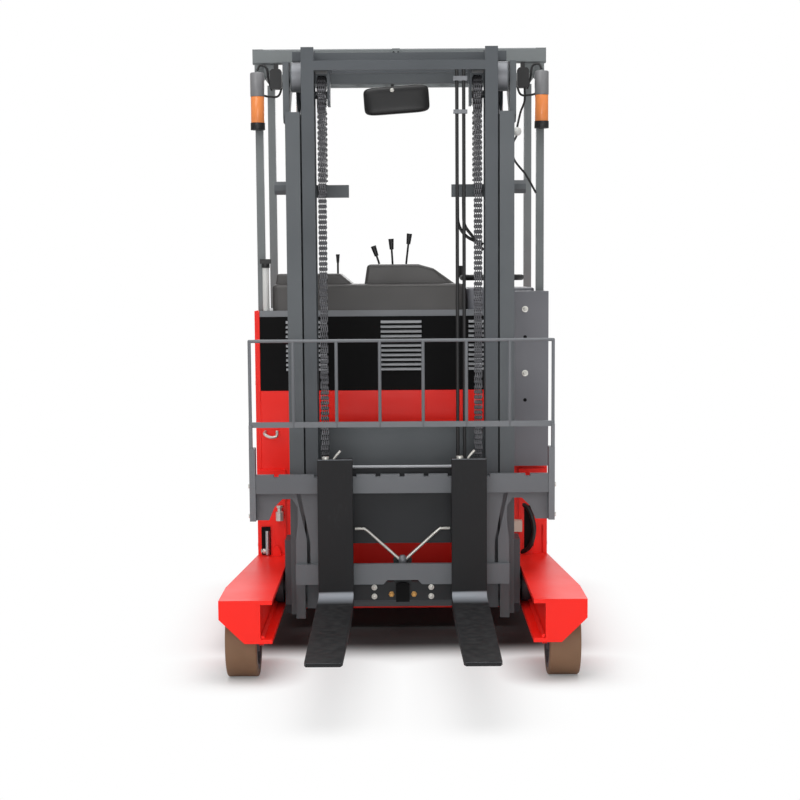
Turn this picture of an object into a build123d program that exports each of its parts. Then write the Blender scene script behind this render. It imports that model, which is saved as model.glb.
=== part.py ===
from build123d import *
import os

# Stand-on electric reach truck. Millimetres, +Z up, the forks point along -Y, and +X is to the
# right for someone who looks at the forks. The origin is the middle of the footprint on the floor.

# Overall sizes
BODY_HALF = 576                # half the body's width
LEG_HALF = 635                 # half the width over the two legs
LEG_FRONT_Y = -625             # front ends of the legs
BODY_FRONT_Y = 350             # front face of the body
REAR_Y = 1325                  # back of the truck
SIDE_WALL = 20                 # a body side, panel and stiffeners together
SHEET = 12                     # heavy plate of legs, chassis and panels

# Legs: an outer box with a wheel under its hood, and a channel that is open to the inside
CHANNEL_WEB_X = LEG_HALF - 144  # inner face of the channel's web
CHANNEL_INNER_X = CHANNEL_WEB_X - 41  # edge of the channel's two flanges
LEG_TOP_Z = 298
LEG_BOTTOM_Z = 147
CHANNEL_FLANGE = 15
CHANNEL_REAR_Y = 400
LEG_TAPER_Y = -370             # behind this the hood narrows towards the body
LEG_REAR_HALF = LEG_HALF - 58   # half width where the hood meets the body
SKIRT_LOW_Z = 232              # lower edge of the hood's outer skirt
END_CHAMFER_X = LEG_HALF - 88            # where the end plate's slanted edge meets its bottom
WHEEL_BAY_REAR_Y = -305        # front of the closed leg box behind the load wheel
COLUMN_INNER_X = 463           # red column where leg and body join
COLUMN_TOP_Z = 640

# Load wheels
LOAD_WHEEL_Y = -465
LOAD_WHEEL_R = 133
LOAD_TYRE_THICK = 24
LOAD_WHEEL_X1 = LEG_HALF - 17
LOAD_WHEEL_X0 = LOAD_WHEEL_X1 - 110
LOAD_AXLE_R = 25
RUNNING_CLEARANCE = 0.3
WHEEL_SIDE_GAP = 5

# Drive wheel and caster
AXLE_Y = 1080                  # drive axle, 1545 mm behind the load wheels
DRIVE_X = -330
DRIVE_R = 190
DRIVE_TYRE_THICK = 42
DRIVE_HALF_WIDTH = 70
CASTER_X = 300
CASTER_R = 100
CASTER_TRAIL = 65
CASTER_GAP = 22                # half the gap between the twin wheels
CASTER_OUTER = 74              # outer face of a twin wheel from the swivel line

# Chassis
RAIL_LOW_Z = 120
DECK_Z = 240                   # underside of the rear deck plate
REAR_CHEST_Y = 850             # back of the battery body, front of the operator's space
RAIL_THICK = 16
DRIVE_HOLE_R = 212             # hole in the deck in which the drive unit turns
BRIDGE_POST = 150              # inner faces of the four posts under the bridge, from its middle
BRIDGE_POST_SIZE = 24
BELLY_Z = 80                   # underside of the chassis front beam
BRIDGE_Z = 402                 # underside of the plate that carries the drive unit

# Body panels
RED_TOP_Z = 953
LOUVRE_TOP_Z = 1244
STRIP_TOP_Z = LOUVRE_TOP_Z + 24
CONSOLE_TOP_Z = STRIP_TOP_Z + 102
POD_RISE = 77
TABLE_TOP_Z = STRIP_TOP_Z + 84
HOOD_TOP_Z = 1010
HOOD_INNER_X = -60             # side of the rear hood that faces the operator
FLOOR_Z = 252

# Mast, outer stage: a channel that is open to the inside
REACH_PLATE_X1 = CHANNEL_INNER_X - 9
OUTER_X1 = REACH_PLATE_X1 - 22
OUTER_X0 = OUTER_X1 - 54
OUTER_WEB = 18
MAST_FRONT_Y = -60
MAST_REAR_Y = 80
FLANGE = 16
OUTER_BOTTOM_Z = 138
OUTER_TOP_Z = 1999
# Mast, inner stage: a beam with a web in its middle
INNER_X1 = OUTER_X0 - 6
INNER_X0 = INNER_X1 - 47
INNER_WEB_X0 = INNER_X0 + 19
INNER_WEB = 10
INNER_BOTTOM_Z = 160
INNER_TOP_Z = 2231
ROLLER_Y = 10                  # middle of both channels
ROLLER_R = 53.7
TOP_ROLLER_Z = 2130
INNER_ROLLER_Z = 225
TOP_PLATE_X0 = OUTER_X1 - 14
TOP_PLATE_X1 = OUTER_X1 + 9
LIFT_HOLE_Y = 150              # holes in the top plates, for lifting the truck by a crane
LIFT_HOLE_Z = 2150
LIFT_HOLE_R = 14
CROSS_GAP = 6                  # cross plates clear the inner stage by this much
CROSS_PLATES = ((673, 838), (396, 580), (OUTER_BOTTOM_Z, 190))
CROSS_REAR_Y0 = 185            # top cross member of the outer stage, behind the lift rods
CROSS_REAR_Y1 = 210

# Lift cylinders behind the uprights
LIFT_X = OUTER_X0 + 8
LIFT_Y = 145
LIFT_BARREL_R = 27
LIFT_ROD_R = 16
LIFT_BARREL_TOP_Z = 1950
LIFT_ROD_BOTTOM_Z = 480

# Reach carriage and its cylinder
REACH_ROLLER_R = 60.2
REACH_ROLLER_Z = 222.5
REACH_ROLLER_YS = (60, 290)
REACH_CYL_Z = 190
REACH_BARREL_R = 32
REACH_ROD_R = 18
REACH_STROKE = 560
REACH_BEAM_Y0 = 178
REACH_BEAM_Y1 = 210

# Chains and sheaves
CHAIN_X1 = INNER_X0 - 12
CHAIN_X0 = CHAIN_X1 - 29
SHEAVE_R = 55
SHEAVE_Z = 2065
CHAIN_THICK = 14
CHAIN_WAIST = 2.4
CHAIN_ANCHOR_Z = 665           # top of the anchors on the carriage
CHAIN_LINK = 19.05             # pitch of the leaf chain
REAR_ANCHOR_Z = 1742           # top of the anchors on the outer stage

# Lift carriage
CARRIAGE_X1 = INNER_X0 - 12
CARRIAGE_X0 = CARRIAGE_X1 - 16
CARRIAGE_FRONT_Y = -112
CARRIAGE_REAR_Y = 48
CARRIAGE_BOTTOM_Z = 195
CARRIAGE_TOP_Z = 640
CARRIAGE_ROLLER_ZS = (250, 560)
TILT_Y = -140
TILT_Z = 590
TILT_PIN_R = 18
TILT_RAM_Z = 312
CARRIAGE_PLATES = ((200, 270), (415, 703))
EYE_CLEARANCE = 2.2            # the pin swings in an arc, so the eye is larger than the pin

# Fork carriage, 407 mm over its two bars, as on class II
BAR_FRONT_Y = -200
BAR_REAR_Y = -170
BAR_TOP_Z = 682
BAR_CLASS_HEIGHT = 407
UPPER_BAR_HEIGHT = 69
LOWER_BAR_HEIGHT = 75
UPPER_BAR_HALF = 536
LOWER_BAR_HALF = 393
LOWER_BAR_Z = BAR_TOP_Z - BAR_CLASS_HEIGHT
PLATE_REAR_Y = -158

# Forks
FORK_X = 244
FORK_HALF_WIDTH = 64
FORK_TIP_HALF = 59
FORK_THICK = 40
FORK_LENGTH = 1085
HEEL_R = 42
FORK_TOP_Z = 237               # upper face of the blade
FORK_SHANK_TOP_Z = 742
FORK_TIP_Y = BAR_FRONT_Y - FORK_THICK - FORK_LENGTH

# Load backrest
BACKREST_HALF = 552
BACKREST_TOP_Z = 1170
BACKREST_BAR_R = 6
BACKREST_Y = -185
BACKREST_GAPS = 7
BACKREST_LOW_Z = 855

# Overhead guard
GUARD_BEAM_Z = 2222
GUARD_TOP_Z = GUARD_BEAM_Z + 56
GUARD_FRONT_Y = 380
GUARD_REAR_Y = 1300
GUARD_HALF = 570
POST_X = 548
POST_HALF = 15

os.makedirs("parts", exist_ok=True)


def block(x0, x1, y0, y1, z0, z1):
    centre = Pos((x0 + x1) / 2, (y0 + y1) / 2, (z0 + z1) / 2)
    return centre * Box(abs(x1 - x0), abs(y1 - y0), abs(z1 - z0))


def rod_x(x0, x1, y, z, radius):
    return Pos((x0 + x1) / 2, y, z) * Rot(0, 90, 0) * Cylinder(radius, abs(x1 - x0))


def rod_y(y0, y1, x, z, radius):
    return Pos(x, (y0 + y1) / 2, z) * Rot(90, 0, 0) * Cylinder(radius, abs(y1 - y0))


def rod_z(z0, z1, x, y, radius):
    return Pos(x, y, (z0 + z1) / 2) * Cylinder(radius, abs(z1 - z0))


def outline(points):
    return make_face(Polyline(*points, close=True))


def plate_x(points, x0, x1):
    # the outline is in (Y, Z)
    return extrude(Plane.YZ.offset(x0) * outline(points), x1 - x0)


def plate_y(points, y0, y1):
    # the outline is in (X, Z)
    return extrude(Plane.XZ.offset(-y1) * outline(points), y1 - y0)


def plate_z(points, z0, z1):
    # the outline is in (X, Y)
    return extrude(Plane.XY.offset(z0) * outline(points), z1 - z0)


def flip(shape):
    return mirror(shape, Plane.YZ)


def pair(shape):
    return shape + flip(shape)


def save(name, *shapes):
    solids = [solid for shape in shapes for solid in shape.solids()]
    body = solids[0] if len(solids) == 1 else Compound(solids)
    export_step(body, f"parts/{name}.step")


# Legs. Built for +X and mirrored.
def leg():
    hood = [(CHANNEL_WEB_X, LEG_FRONT_Y), (LEG_HALF, LEG_FRONT_Y), (LEG_HALF, LEG_TAPER_Y),
            (LEG_REAR_HALF, BODY_FRONT_Y), (CHANNEL_WEB_X, BODY_FRONT_Y)]
    top_in = LEG_TOP_Z - CHANNEL_FLANGE
    web_out = CHANNEL_WEB_X + SHEET
    shape = plate_z(hood, top_in, LEG_TOP_Z)
    shape += block(CHANNEL_WEB_X, web_out, LEG_FRONT_Y, CHANNEL_REAR_Y, LEG_BOTTOM_Z, LEG_TOP_Z)
    shape += block(CHANNEL_INNER_X, CHANNEL_WEB_X, LEG_FRONT_Y, CHANNEL_REAR_Y, top_in, LEG_TOP_Z)
    low_top = LEG_BOTTOM_Z + CHANNEL_FLANGE
    shape += block(CHANNEL_INNER_X, CHANNEL_WEB_X, LEG_FRONT_Y, CHANNEL_REAR_Y, LEG_BOTTOM_Z, low_top)
    end = [(web_out, LEG_TOP_Z), (LEG_HALF, LEG_TOP_Z), (LEG_HALF, SKIRT_LOW_Z),
           (END_CHAMFER_X, LEG_BOTTOM_Z), (web_out, LEG_BOTTOM_Z)]
    shape += plate_y(end, LEG_FRONT_Y, LEG_FRONT_Y + SHEET)
    shape += block(LEG_HALF - SHEET, LEG_HALF, LEG_FRONT_Y, LEG_TAPER_Y, SKIRT_LOW_Z, LEG_TOP_Z)
    slope = (LEG_HALF - LEG_REAR_HALF) / (BODY_FRONT_Y - LEG_TAPER_Y)
    bay_half = LEG_HALF - slope * (WHEEL_BAY_REAR_Y - LEG_TAPER_Y)
    box = [(web_out, WHEEL_BAY_REAR_Y), (bay_half, WHEEL_BAY_REAR_Y),
           (LEG_REAR_HALF, BODY_FRONT_Y), (web_out, BODY_FRONT_Y)]
    shape += plate_z(box, RAIL_LOW_Z, top_in)
    axle_end = LOAD_WHEEL_X1 - 8
    shape += rod_x(CHANNEL_WEB_X + 1, axle_end, LOAD_WHEEL_Y, LOAD_WHEEL_R, LOAD_AXLE_R)
    column = [(COLUMN_INNER_X, LEG_TOP_Z), (LEG_REAR_HALF - 3, LEG_TOP_Z),
              (LEG_REAR_HALF - 3, COLUMN_TOP_Z), (COLUMN_INNER_X, COLUMN_TOP_Z)]
    shape += plate_y(column, BODY_FRONT_Y - SHEET, BODY_FRONT_Y)
    slot = block(LEG_REAR_HALF - 53, LEG_REAR_HALF - 17, BODY_FRONT_Y - 40, BODY_FRONT_Y + 1, LEG_TOP_Z + 2, 414)
    return shape - slot


save("leg_left", leg())
save("leg_right", flip(leg()))


# Load wheels: a polyurethane tyre on a hub that turns on the leg's stub axle
def load_wheel():
    hub_r = LOAD_WHEEL_R - LOAD_TYRE_THICK
    tyre = rod_x(LOAD_WHEEL_X0, LOAD_WHEEL_X1, LOAD_WHEEL_Y, LOAD_WHEEL_R, LOAD_WHEEL_R)
    tyre = fillet(tyre.edges().filter_by(GeomType.CIRCLE), 7)
    tyre -= rod_x(LOAD_WHEEL_X0 - 1, LOAD_WHEEL_X1 + 1, LOAD_WHEEL_Y, LOAD_WHEEL_R, hub_r)
    hub = rod_x(LOAD_WHEEL_X0, LOAD_WHEEL_X1, LOAD_WHEEL_Y, LOAD_WHEEL_R, hub_r)
    for x0, x1 in ((LOAD_WHEEL_X0, LOAD_WHEEL_X0 + 28), (LOAD_WHEEL_X1 - 28, LOAD_WHEEL_X1)):
        ring = rod_x(x0, x1, LOAD_WHEEL_Y, LOAD_WHEEL_R, hub_r - 16)
        hub -= ring - rod_x(x0, x1, LOAD_WHEEL_Y, LOAD_WHEEL_R, 46)
    bore = LOAD_AXLE_R + RUNNING_CLEARANCE
    hub -= rod_x(LOAD_WHEEL_X0 - 1, LOAD_WHEEL_X1 + 1, LOAD_WHEEL_Y, LOAD_WHEEL_R, bore)
    return tyre, hub


load_tyre, load_hub = load_wheel()
save("load_tyre_left", load_tyre)
save("load_tyre_right", flip(load_tyre))
save("load_hub_left", load_hub)
save("load_hub_right", flip(load_hub))


# Chassis: side rails, front beam, battery tray, rear deck and the bridge over the drive unit
def chassis():
    wall_in = BODY_HALF - SIDE_WALL
    rear_in = REAR_Y - SHEET
    shape = pair(block(wall_in - RAIL_THICK, wall_in, CHANNEL_REAR_Y, rear_in, RAIL_LOW_Z, DECK_Z))
    beam = block(-wall_in, wall_in, CHANNEL_REAR_Y, CHANNEL_REAR_Y + 60, BELLY_Z, DECK_Z)
    beam -= rod_y(CHANNEL_REAR_Y - 1, CHANNEL_REAR_Y + 61, 0, REACH_CYL_Z, REACH_BARREL_R)
    shape += beam
    shape += block(-wall_in, wall_in, CHANNEL_REAR_Y, rear_in, DECK_Z, FLOOR_Z)
    shape += block(-wall_in, wall_in, rear_in, REAR_Y, RAIL_LOW_Z, FLOOR_Z + 40)
    shape += block(-wall_in, wall_in, REAR_CHEST_Y - SHEET, REAR_CHEST_Y, FLOOR_Z, LOUVRE_TOP_Z)
    shape -= rod_z(DECK_Z - 1, FLOOR_Z + 1, DRIVE_X, AXLE_Y, DRIVE_HOLE_R)
    near = BRIDGE_POST
    far = BRIDGE_POST + BRIDGE_POST_SIZE
    for x0, x1 in ((-far, -near), (near, far)):
        for y0, y1 in ((-far, -near), (near, far)):
            shape += block(DRIVE_X + x0, DRIVE_X + x1, AXLE_Y + y0, AXLE_Y + y1, FLOOR_Z, BRIDGE_Z)
    shape += block(DRIVE_X - far, DRIVE_X + far, AXLE_Y - far, AXLE_Y + far, BRIDGE_Z, BRIDGE_Z + SHEET)
    return shape


save("chassis_frame", chassis())


# Battery, one plain block on the chassis deck
battery_wall = BODY_HALF - SIDE_WALL - 16
save("battery", block(-battery_wall, battery_wall, BODY_FRONT_Y + 60, REAR_CHEST_Y - 30, FLOOR_Z, 860))


# Red front panel, with a step round the two channels and a hole for the reach cylinder
def front_panel():
    half = BODY_HALF - SIDE_WALL
    low_half = CHANNEL_INNER_X - 6
    points = [(-half, RED_TOP_Z), (half, RED_TOP_Z), (half, LEG_TOP_Z), (low_half, LEG_TOP_Z),
              (low_half, BELLY_Z), (-low_half, BELLY_Z), (-low_half, LEG_TOP_Z), (-half, LEG_TOP_Z)]
    shape = plate_y(points, BODY_FRONT_Y, BODY_FRONT_Y + SHEET)
    return shape - rod_y(BODY_FRONT_Y - 1, BODY_FRONT_Y + SHEET + 1, 0, REACH_CYL_Z, REACH_BARREL_R)


save("front_panel", front_panel())


# Black panel with three groups of louvres, each louvre a small wedge over a slot
def louvre_panel():
    half = BODY_HALF - SIDE_WALL
    shape = block(-half, half, BODY_FRONT_Y, BODY_FRONT_Y + SHEET, RED_TOP_Z, LOUVRE_TOP_Z)
    group_centres = (-373, 0, 345)
    group_half = 79
    first_z = 1032
    pitch = 18.5
    count = 11
    for centre in group_centres:
        for row in range(count):
            z = first_z + row * pitch
            slot = block(centre - group_half, centre + group_half, BODY_FRONT_Y - 1,
                         BODY_FRONT_Y + SHEET + 1, z, z + 7)
            wedge = [(BODY_FRONT_Y, z + 7), (BODY_FRONT_Y - 9, z), (BODY_FRONT_Y - 9, z + 2),
                     (BODY_FRONT_Y, z + 10)]
            shape = shape - slot + plate_x(wedge, centre - group_half, centre + group_half)
    return shape


save("louvre_panel", louvre_panel())

# Pale grey strip that closes the battery body on top
strip_half = BODY_HALF - SIDE_WALL
save("top_strip", block(-strip_half, strip_half, BODY_FRONT_Y, REAR_CHEST_Y, LOUVRE_TOP_Z, STRIP_TOP_Z))


# Side panels. The right one is higher in front and lower beside the rear hood.
def side_panel(rear_top):
    points = [(BODY_FRONT_Y, RAIL_LOW_Z), (REAR_Y, RAIL_LOW_Z), (REAR_Y, rear_top - 60),
              (REAR_Y - 60, rear_top), (REAR_CHEST_Y + 40, rear_top), (REAR_CHEST_Y, STRIP_TOP_Z - 20),
              (REAR_CHEST_Y - 20, STRIP_TOP_Z), (BODY_FRONT_Y, STRIP_TOP_Z)]
    return plate_x(points, BODY_HALF - SIDE_WALL, BODY_HALF)


save("side_panel_left", side_panel(HOOD_TOP_Z))
save("side_panel_right", flip(side_panel(HOOD_TOP_Z)))


# Console: a long moulded box, a low hump and the instrument pod
def console():
    shape = block(-505, 250, BODY_FRONT_Y + 6, REAR_CHEST_Y - 20, STRIP_TOP_Z, CONSOLE_TOP_Z)
    shape = fillet(shape.edges().filter_by(Axis.Z), 24)
    shape = fillet(shape.faces().sort_by(Axis.Z)[-1].edges(), 14)
    for profile, y0, y1, low, radius in (
        (((-494, -8), (-488, 42), (-240, 42), (-180, -8)), 392, 640, 10, 9),
        (((-145, -8), (-132, POD_RISE), (70, POD_RISE), (130, POD_RISE - 17), (225, -8)), 412, 700, 16, 12),
    ):
        mould = plate_y([(x, CONSOLE_TOP_Z + z) for x, z in profile], y0, y1)
        mould = fillet(mould.edges().filter_by(Axis.Y).filter_by(lambda e: e.center().Z > CONSOLE_TOP_Z), low)
        shape += fillet(mould.faces().sort_by(Axis.Y)[0].edges().filter_by(lambda e: e.center().Z > CONSOLE_TOP_Z), radius)
    return shape


save("console", console())

# Levers: foot x, foot y, foot height over the console, tip x, tip height, knob length, knob radius
LEVERS = (
    (-250, 470, 42, -250, 118, 34, 8),
    (-85, 500, POD_RISE + 1.3, -109, 150, 42, 11),
    (-32, 500, POD_RISE + 0.4, -38, 178, 42, 11),
    (22, 500, POD_RISE + 0.6, 36, 198, 42, 11),
)
levers = []
for foot_x, foot_y, foot_z, tip_x, tip_z, knob, knob_r in LEVERS:
    foot = Vector(foot_x, foot_y, CONSOLE_TOP_Z + foot_z)
    tip = Vector(tip_x, foot_y, CONSOLE_TOP_Z + tip_z)
    along = (tip - foot).normalized()
    stem = Solid.make_cylinder(4, (tip - foot).length - 5, Plane(foot, z_dir=along))
    grip = Solid.make_cone(knob_r - 3, knob_r, knob, Plane(tip - along * knob, z_dir=along))
    levers.append(Part() + stem + grip)
save("control_levers", *levers)

# Filler pipe with its cap at the front right corner
filler_top = STRIP_TOP_Z + 168
filler = rod_z(STRIP_TOP_Z, filler_top, -530, 366, 13)
save("filler_pipe", filler)
save("filler_cap", rod_z(filler_top, filler_top + 16, -530, 366, 16) + block(-552, -508, 358, 374, filler_top + 16, filler_top + 34))


# Grey box on the left of the front, beside the mast
def side_box():
    shape = block(430, 570, 228, BODY_FRONT_Y, 663, 1340)
    return fillet(shape.edges().filter_by(Axis.Z), 5)


save("side_box", side_box())
table = block(262, 528, 400, REAR_CHEST_Y - 20, STRIP_TOP_Z, TABLE_TOP_Z)
table = fillet(table.edges().filter_by(Axis.Z), 22)
save("steering_table", fillet(table.faces().sort_by(Axis.Z)[-1].edges(), 8))

# Steering wheel, flat on its column
WHEEL_X = 372
WHEEL_Y = 640
WHEEL_Z = TABLE_TOP_Z + 40
RIM_R = 120
steering = Pos(WHEEL_X, WHEEL_Y, WHEEL_Z) * Torus(RIM_R, 12)
for turn in (90, 210, 330):
    steering += Pos(WHEEL_X, WHEEL_Y, WHEEL_Z) * Rot(0, 0, turn) * (Pos(RIM_R / 2, 0, -2) * Box(RIM_R, 22, 8))
steering += rod_z(TABLE_TOP_Z + RUNNING_CLEARANCE, WHEEL_Z + 6, WHEEL_X, WHEEL_Y, 34)
steering += rod_z(WHEEL_Z, WHEEL_Z + 48, WHEEL_X - RIM_R, WHEEL_Y, 14)
save("steering_wheel", steering)


# Rear hood over the drive unit, open below, with a rounded top edge
def rear_hood():
    wall_in = BODY_HALF - SIDE_WALL
    x0 = -wall_in
    y0 = REAR_CHEST_Y
    y1 = REAR_Y - 2
    shape = block(x0, HOOD_INNER_X, y0, y1, FLOOR_Z + 40, HOOD_TOP_Z)
    shape = fillet(shape.edges().group_by(Axis.Z)[-1], 25)
    inner = block(x0 + SHEET, HOOD_INNER_X - SHEET, y0 + SHEET, y1 - SHEET, FLOOR_Z + 39, HOOD_TOP_Z - SHEET)
    return shape - inner


save("rear_hood", rear_hood())
save("drive_motor", rod_z(BRIDGE_Z + SHEET, 720, DRIVE_X, AXLE_Y, 105))
save("operator_floor", block(HOOD_INNER_X + 4, BODY_HALF - SIDE_WALL - 4, REAR_CHEST_Y + 2, REAR_Y - SHEET - 2, FLOOR_Z, FLOOR_Z + 14))
pedal = block(330, 450, 930, 1050, FLOOR_Z + 14, FLOOR_Z + 34)
save("foot_pedal", fillet(pedal.edges().filter_by(Axis.Z), 15))
pad = block(HOOD_INNER_X, HOOD_INNER_X + 55, 900, 1280, 700, 980)
save("back_pad", fillet(pad.edges(), 20))


# Drive unit that turns about a vertical line: turntable, gear case and the wheel on its hub
def gear_case():
    shape = rod_z(384, BRIDGE_Z - RUNNING_CLEARANCE, DRIVE_X, AXLE_Y, 130)
    side_x = DRIVE_X + DRIVE_HALF_WIDTH + 6
    shape += block(side_x, side_x + 58, AXLE_Y - 62, AXLE_Y + 62, DRIVE_R, 384)
    shape += rod_x(side_x, side_x + 58, AXLE_Y, DRIVE_R, 62)
    shape += rod_x(DRIVE_X - 40, side_x + 1, AXLE_Y, DRIVE_R, 30)
    return shape


def drive_wheel():
    x0 = DRIVE_X - DRIVE_HALF_WIDTH
    x1 = DRIVE_X + DRIVE_HALF_WIDTH
    hub_r = DRIVE_R - DRIVE_TYRE_THICK
    tyre = rod_x(x0, x1, AXLE_Y, DRIVE_R, DRIVE_R)
    tyre = fillet(tyre.edges().filter_by(GeomType.CIRCLE), 8)
    tyre -= rod_x(x0 - 1, x1 + 1, AXLE_Y, DRIVE_R, hub_r)
    hub = rod_x(x0, x1, AXLE_Y, DRIVE_R, hub_r)
    hub -= rod_x(x0 - 1, x0 + 40, AXLE_Y, DRIVE_R, hub_r - 20)
    hub -= rod_x(x0 + 20, x1 + 1, AXLE_Y, DRIVE_R, 30 + RUNNING_CLEARANCE)
    return tyre, hub


save("drive_gearcase", gear_case())
drive_tyre, drive_hub = drive_wheel()
save("drive_tyre", drive_tyre)
save("drive_hub", drive_hub)


# Caster: a plate on the deck, a swivel with a stem between twin wheels
def caster_swivel():
    axle_y = AXLE_Y + CASTER_TRAIL
    shape = rod_z(212, DECK_Z - RUNNING_CLEARANCE, CASTER_X, AXLE_Y, 62)
    stem = [(AXLE_Y - 40, 212), (AXLE_Y + 50, 212), (axle_y + 24, CASTER_R), (axle_y - 24, CASTER_R)]
    shape += plate_x(stem, CASTER_X - CASTER_GAP + 5, CASTER_X + CASTER_GAP - 5)
    shape += rod_x(CASTER_X - CASTER_GAP + 5, CASTER_X + CASTER_GAP - 5, axle_y, CASTER_R, 30)
    shape += rod_x(CASTER_X - CASTER_OUTER + 6, CASTER_X + CASTER_OUTER - 6, axle_y, CASTER_R, 12)
    return shape


def caster_wheel():
    axle_y = AXLE_Y + CASTER_TRAIL
    wheel = rod_x(CASTER_X + CASTER_GAP, CASTER_X + CASTER_OUTER, axle_y, CASTER_R, CASTER_R)
    wheel = fillet(wheel.edges().filter_by(GeomType.CIRCLE), 8)
    wheel -= rod_x(CASTER_X, CASTER_X + CASTER_OUTER + 1, axle_y, CASTER_R, 12 + RUNNING_CLEARANCE)
    return wheel


caster_right_wheel = caster_wheel()
caster_left_wheel = mirror(caster_right_wheel, Plane.YZ.offset(CASTER_X))
save("caster_swivel", caster_swivel())
save("caster_wheels", caster_right_wheel, caster_left_wheel)


# Outer mast stage
def outer_mast():
    shape = block(OUTER_X1 - OUTER_WEB, OUTER_X1, MAST_FRONT_Y, MAST_REAR_Y, OUTER_BOTTOM_Z, OUTER_TOP_Z)
    for y0 in (MAST_FRONT_Y, MAST_REAR_Y - FLANGE):
        shape += block(OUTER_X0, OUTER_X1, y0, y0 + FLANGE, OUTER_BOTTOM_Z, OUTER_TOP_Z)
    top = [(-20, 1965 + 24), (0, 1965), (60, 1965), (CROSS_REAR_Y1, 2110), (CROSS_REAR_Y1, 2184), (-20, 2184)]
    shape += plate_x(top, OUTER_X1, TOP_PLATE_X1)
    upper = [(-20, OUTER_TOP_Z), (CROSS_REAR_Y0 - 120, OUTER_TOP_Z), (CROSS_REAR_Y1, 2110),
             (CROSS_REAR_Y1, 2184), (-20, 2184)]
    shape += plate_x(upper, TOP_PLATE_X0, OUTER_X1)
    shape += rod_x(INNER_WEB_X0 + 15, OUTER_X1 - 21, ROLLER_Y, TOP_ROLLER_Z, ROLLER_R)
    shape += rod_x(OUTER_X1 - 22, TOP_PLATE_X0 + 1, ROLLER_Y, TOP_ROLLER_Z, 20)
    shape += block(OUTER_X0, TOP_PLATE_X1 - 9, MAST_REAR_Y, LIFT_Y + LIFT_BARREL_R, OUTER_BOTTOM_Z, 150)
    shape += block(OUTER_X0, LIFT_X + 15, MAST_REAR_Y, LIFT_Y - LIFT_BARREL_R - 0.3, 1780, 1810)
    cross_y = MAST_REAR_Y + CROSS_GAP
    shape += block(192, OUTER_X1, cross_y, cross_y + SHEET, REAR_ANCHOR_Z - 47, REAR_ANCHOR_Z)
    shape += block(CHAIN_X0, CHAIN_X1, 56, cross_y, REAR_ANCHOR_Z - 30, REAR_ANCHOR_Z)
    shape += block(OUTER_X0, OUTER_X1 - 19, MAST_FRONT_Y - 24, MAST_FRONT_Y, OUTER_BOTTOM_Z - 12, 420)
    for z0, z1 in CROSS_PLATES + ((REAR_ANCHOR_Z - 47, REAR_ANCHOR_Z),):
        shape += block(OUTER_X0, OUTER_X1, MAST_REAR_Y, cross_y, z0, z1)
    knob = Plane.YZ.offset(OUTER_X1) * (Pos(60, REAR_ANCHOR_Z - 12) * Rot(0, 0, 22.5) * RegularPolygon(26, 8))
    shape += extrude(knob, 49)
    shape -= rod_x(TOP_PLATE_X0 - 1, TOP_PLATE_X1 + 1, LIFT_HOLE_Y, LIFT_HOLE_Z, LIFT_HOLE_R)
    shape = pair(shape)
    shape += block(-TOP_PLATE_X1, TOP_PLATE_X1, CROSS_REAR_Y0, CROSS_REAR_Y1, 2124, 2170)
    for z0, z1 in CROSS_PLATES:
        shape += block(-OUTER_X1, OUTER_X1, cross_y, cross_y + SHEET, z0, z1)
    return shape


save("outer_mast", outer_mast())


# Reach carriage: side plates with rollers in the legs' channels, and a beam behind the mast
def reach_carriage():
    plate = [(MAST_FRONT_Y, 175), (MAST_FRONT_Y + 40, 135), (330, 135), (340, 150), (340, 290),
             (200, 330), (MAST_REAR_Y, 420), (MAST_FRONT_Y, 420)]
    shape = plate_x(plate, OUTER_X1, REACH_PLATE_X1)
    for y in REACH_ROLLER_YS:
        shape += rod_x(REACH_PLATE_X1, CHANNEL_WEB_X - 7, y, REACH_ROLLER_Z, 22)
        shape += rod_x(CHANNEL_INNER_X + 3, CHANNEL_WEB_X - 7, y, REACH_ROLLER_Z, REACH_ROLLER_R)
    shape = pair(shape)
    return shape + block(-OUTER_X1, OUTER_X1, REACH_BEAM_Y0, REACH_BEAM_Y1, 145, 235)


save("reach_carriage", reach_carriage())

# Reach cylinder in the chassis, and its rod to the beam
reach_barrel = rod_y(BODY_FRONT_Y - 20, 1000, 0, REACH_CYL_Z, REACH_BARREL_R)
reach_barrel -= rod_y(BODY_FRONT_Y - 21, 985, 0, REACH_CYL_Z, REACH_ROD_R + 2)
save("reach_cylinder", reach_barrel)
save("reach_rod", rod_y(REACH_BEAM_Y1, 960, 0, REACH_CYL_Z, REACH_ROD_R))

# Lift cylinders and their rods
lift_barrel = rod_z(150, LIFT_BARREL_TOP_Z, LIFT_X, LIFT_Y, LIFT_BARREL_R)
lift_barrel -= rod_z(170, LIFT_BARREL_TOP_Z + 1, LIFT_X, LIFT_Y, LIFT_ROD_R + 2)
gland = rod_z(LIFT_BARREL_TOP_Z - 45, LIFT_BARREL_TOP_Z, LIFT_X, LIFT_Y, LIFT_BARREL_R + 3)
lift_barrel += gland - rod_z(LIFT_BARREL_TOP_Z - 46, LIFT_BARREL_TOP_Z + 1, LIFT_X, LIFT_Y, LIFT_BARREL_R - 2)
save("lift_cylinders", lift_barrel, flip(lift_barrel))
lift_rod = rod_z(LIFT_ROD_BOTTOM_Z, 2195, LIFT_X, LIFT_Y, LIFT_ROD_R)
save("lift_rods", lift_rod, flip(lift_rod))


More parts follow.
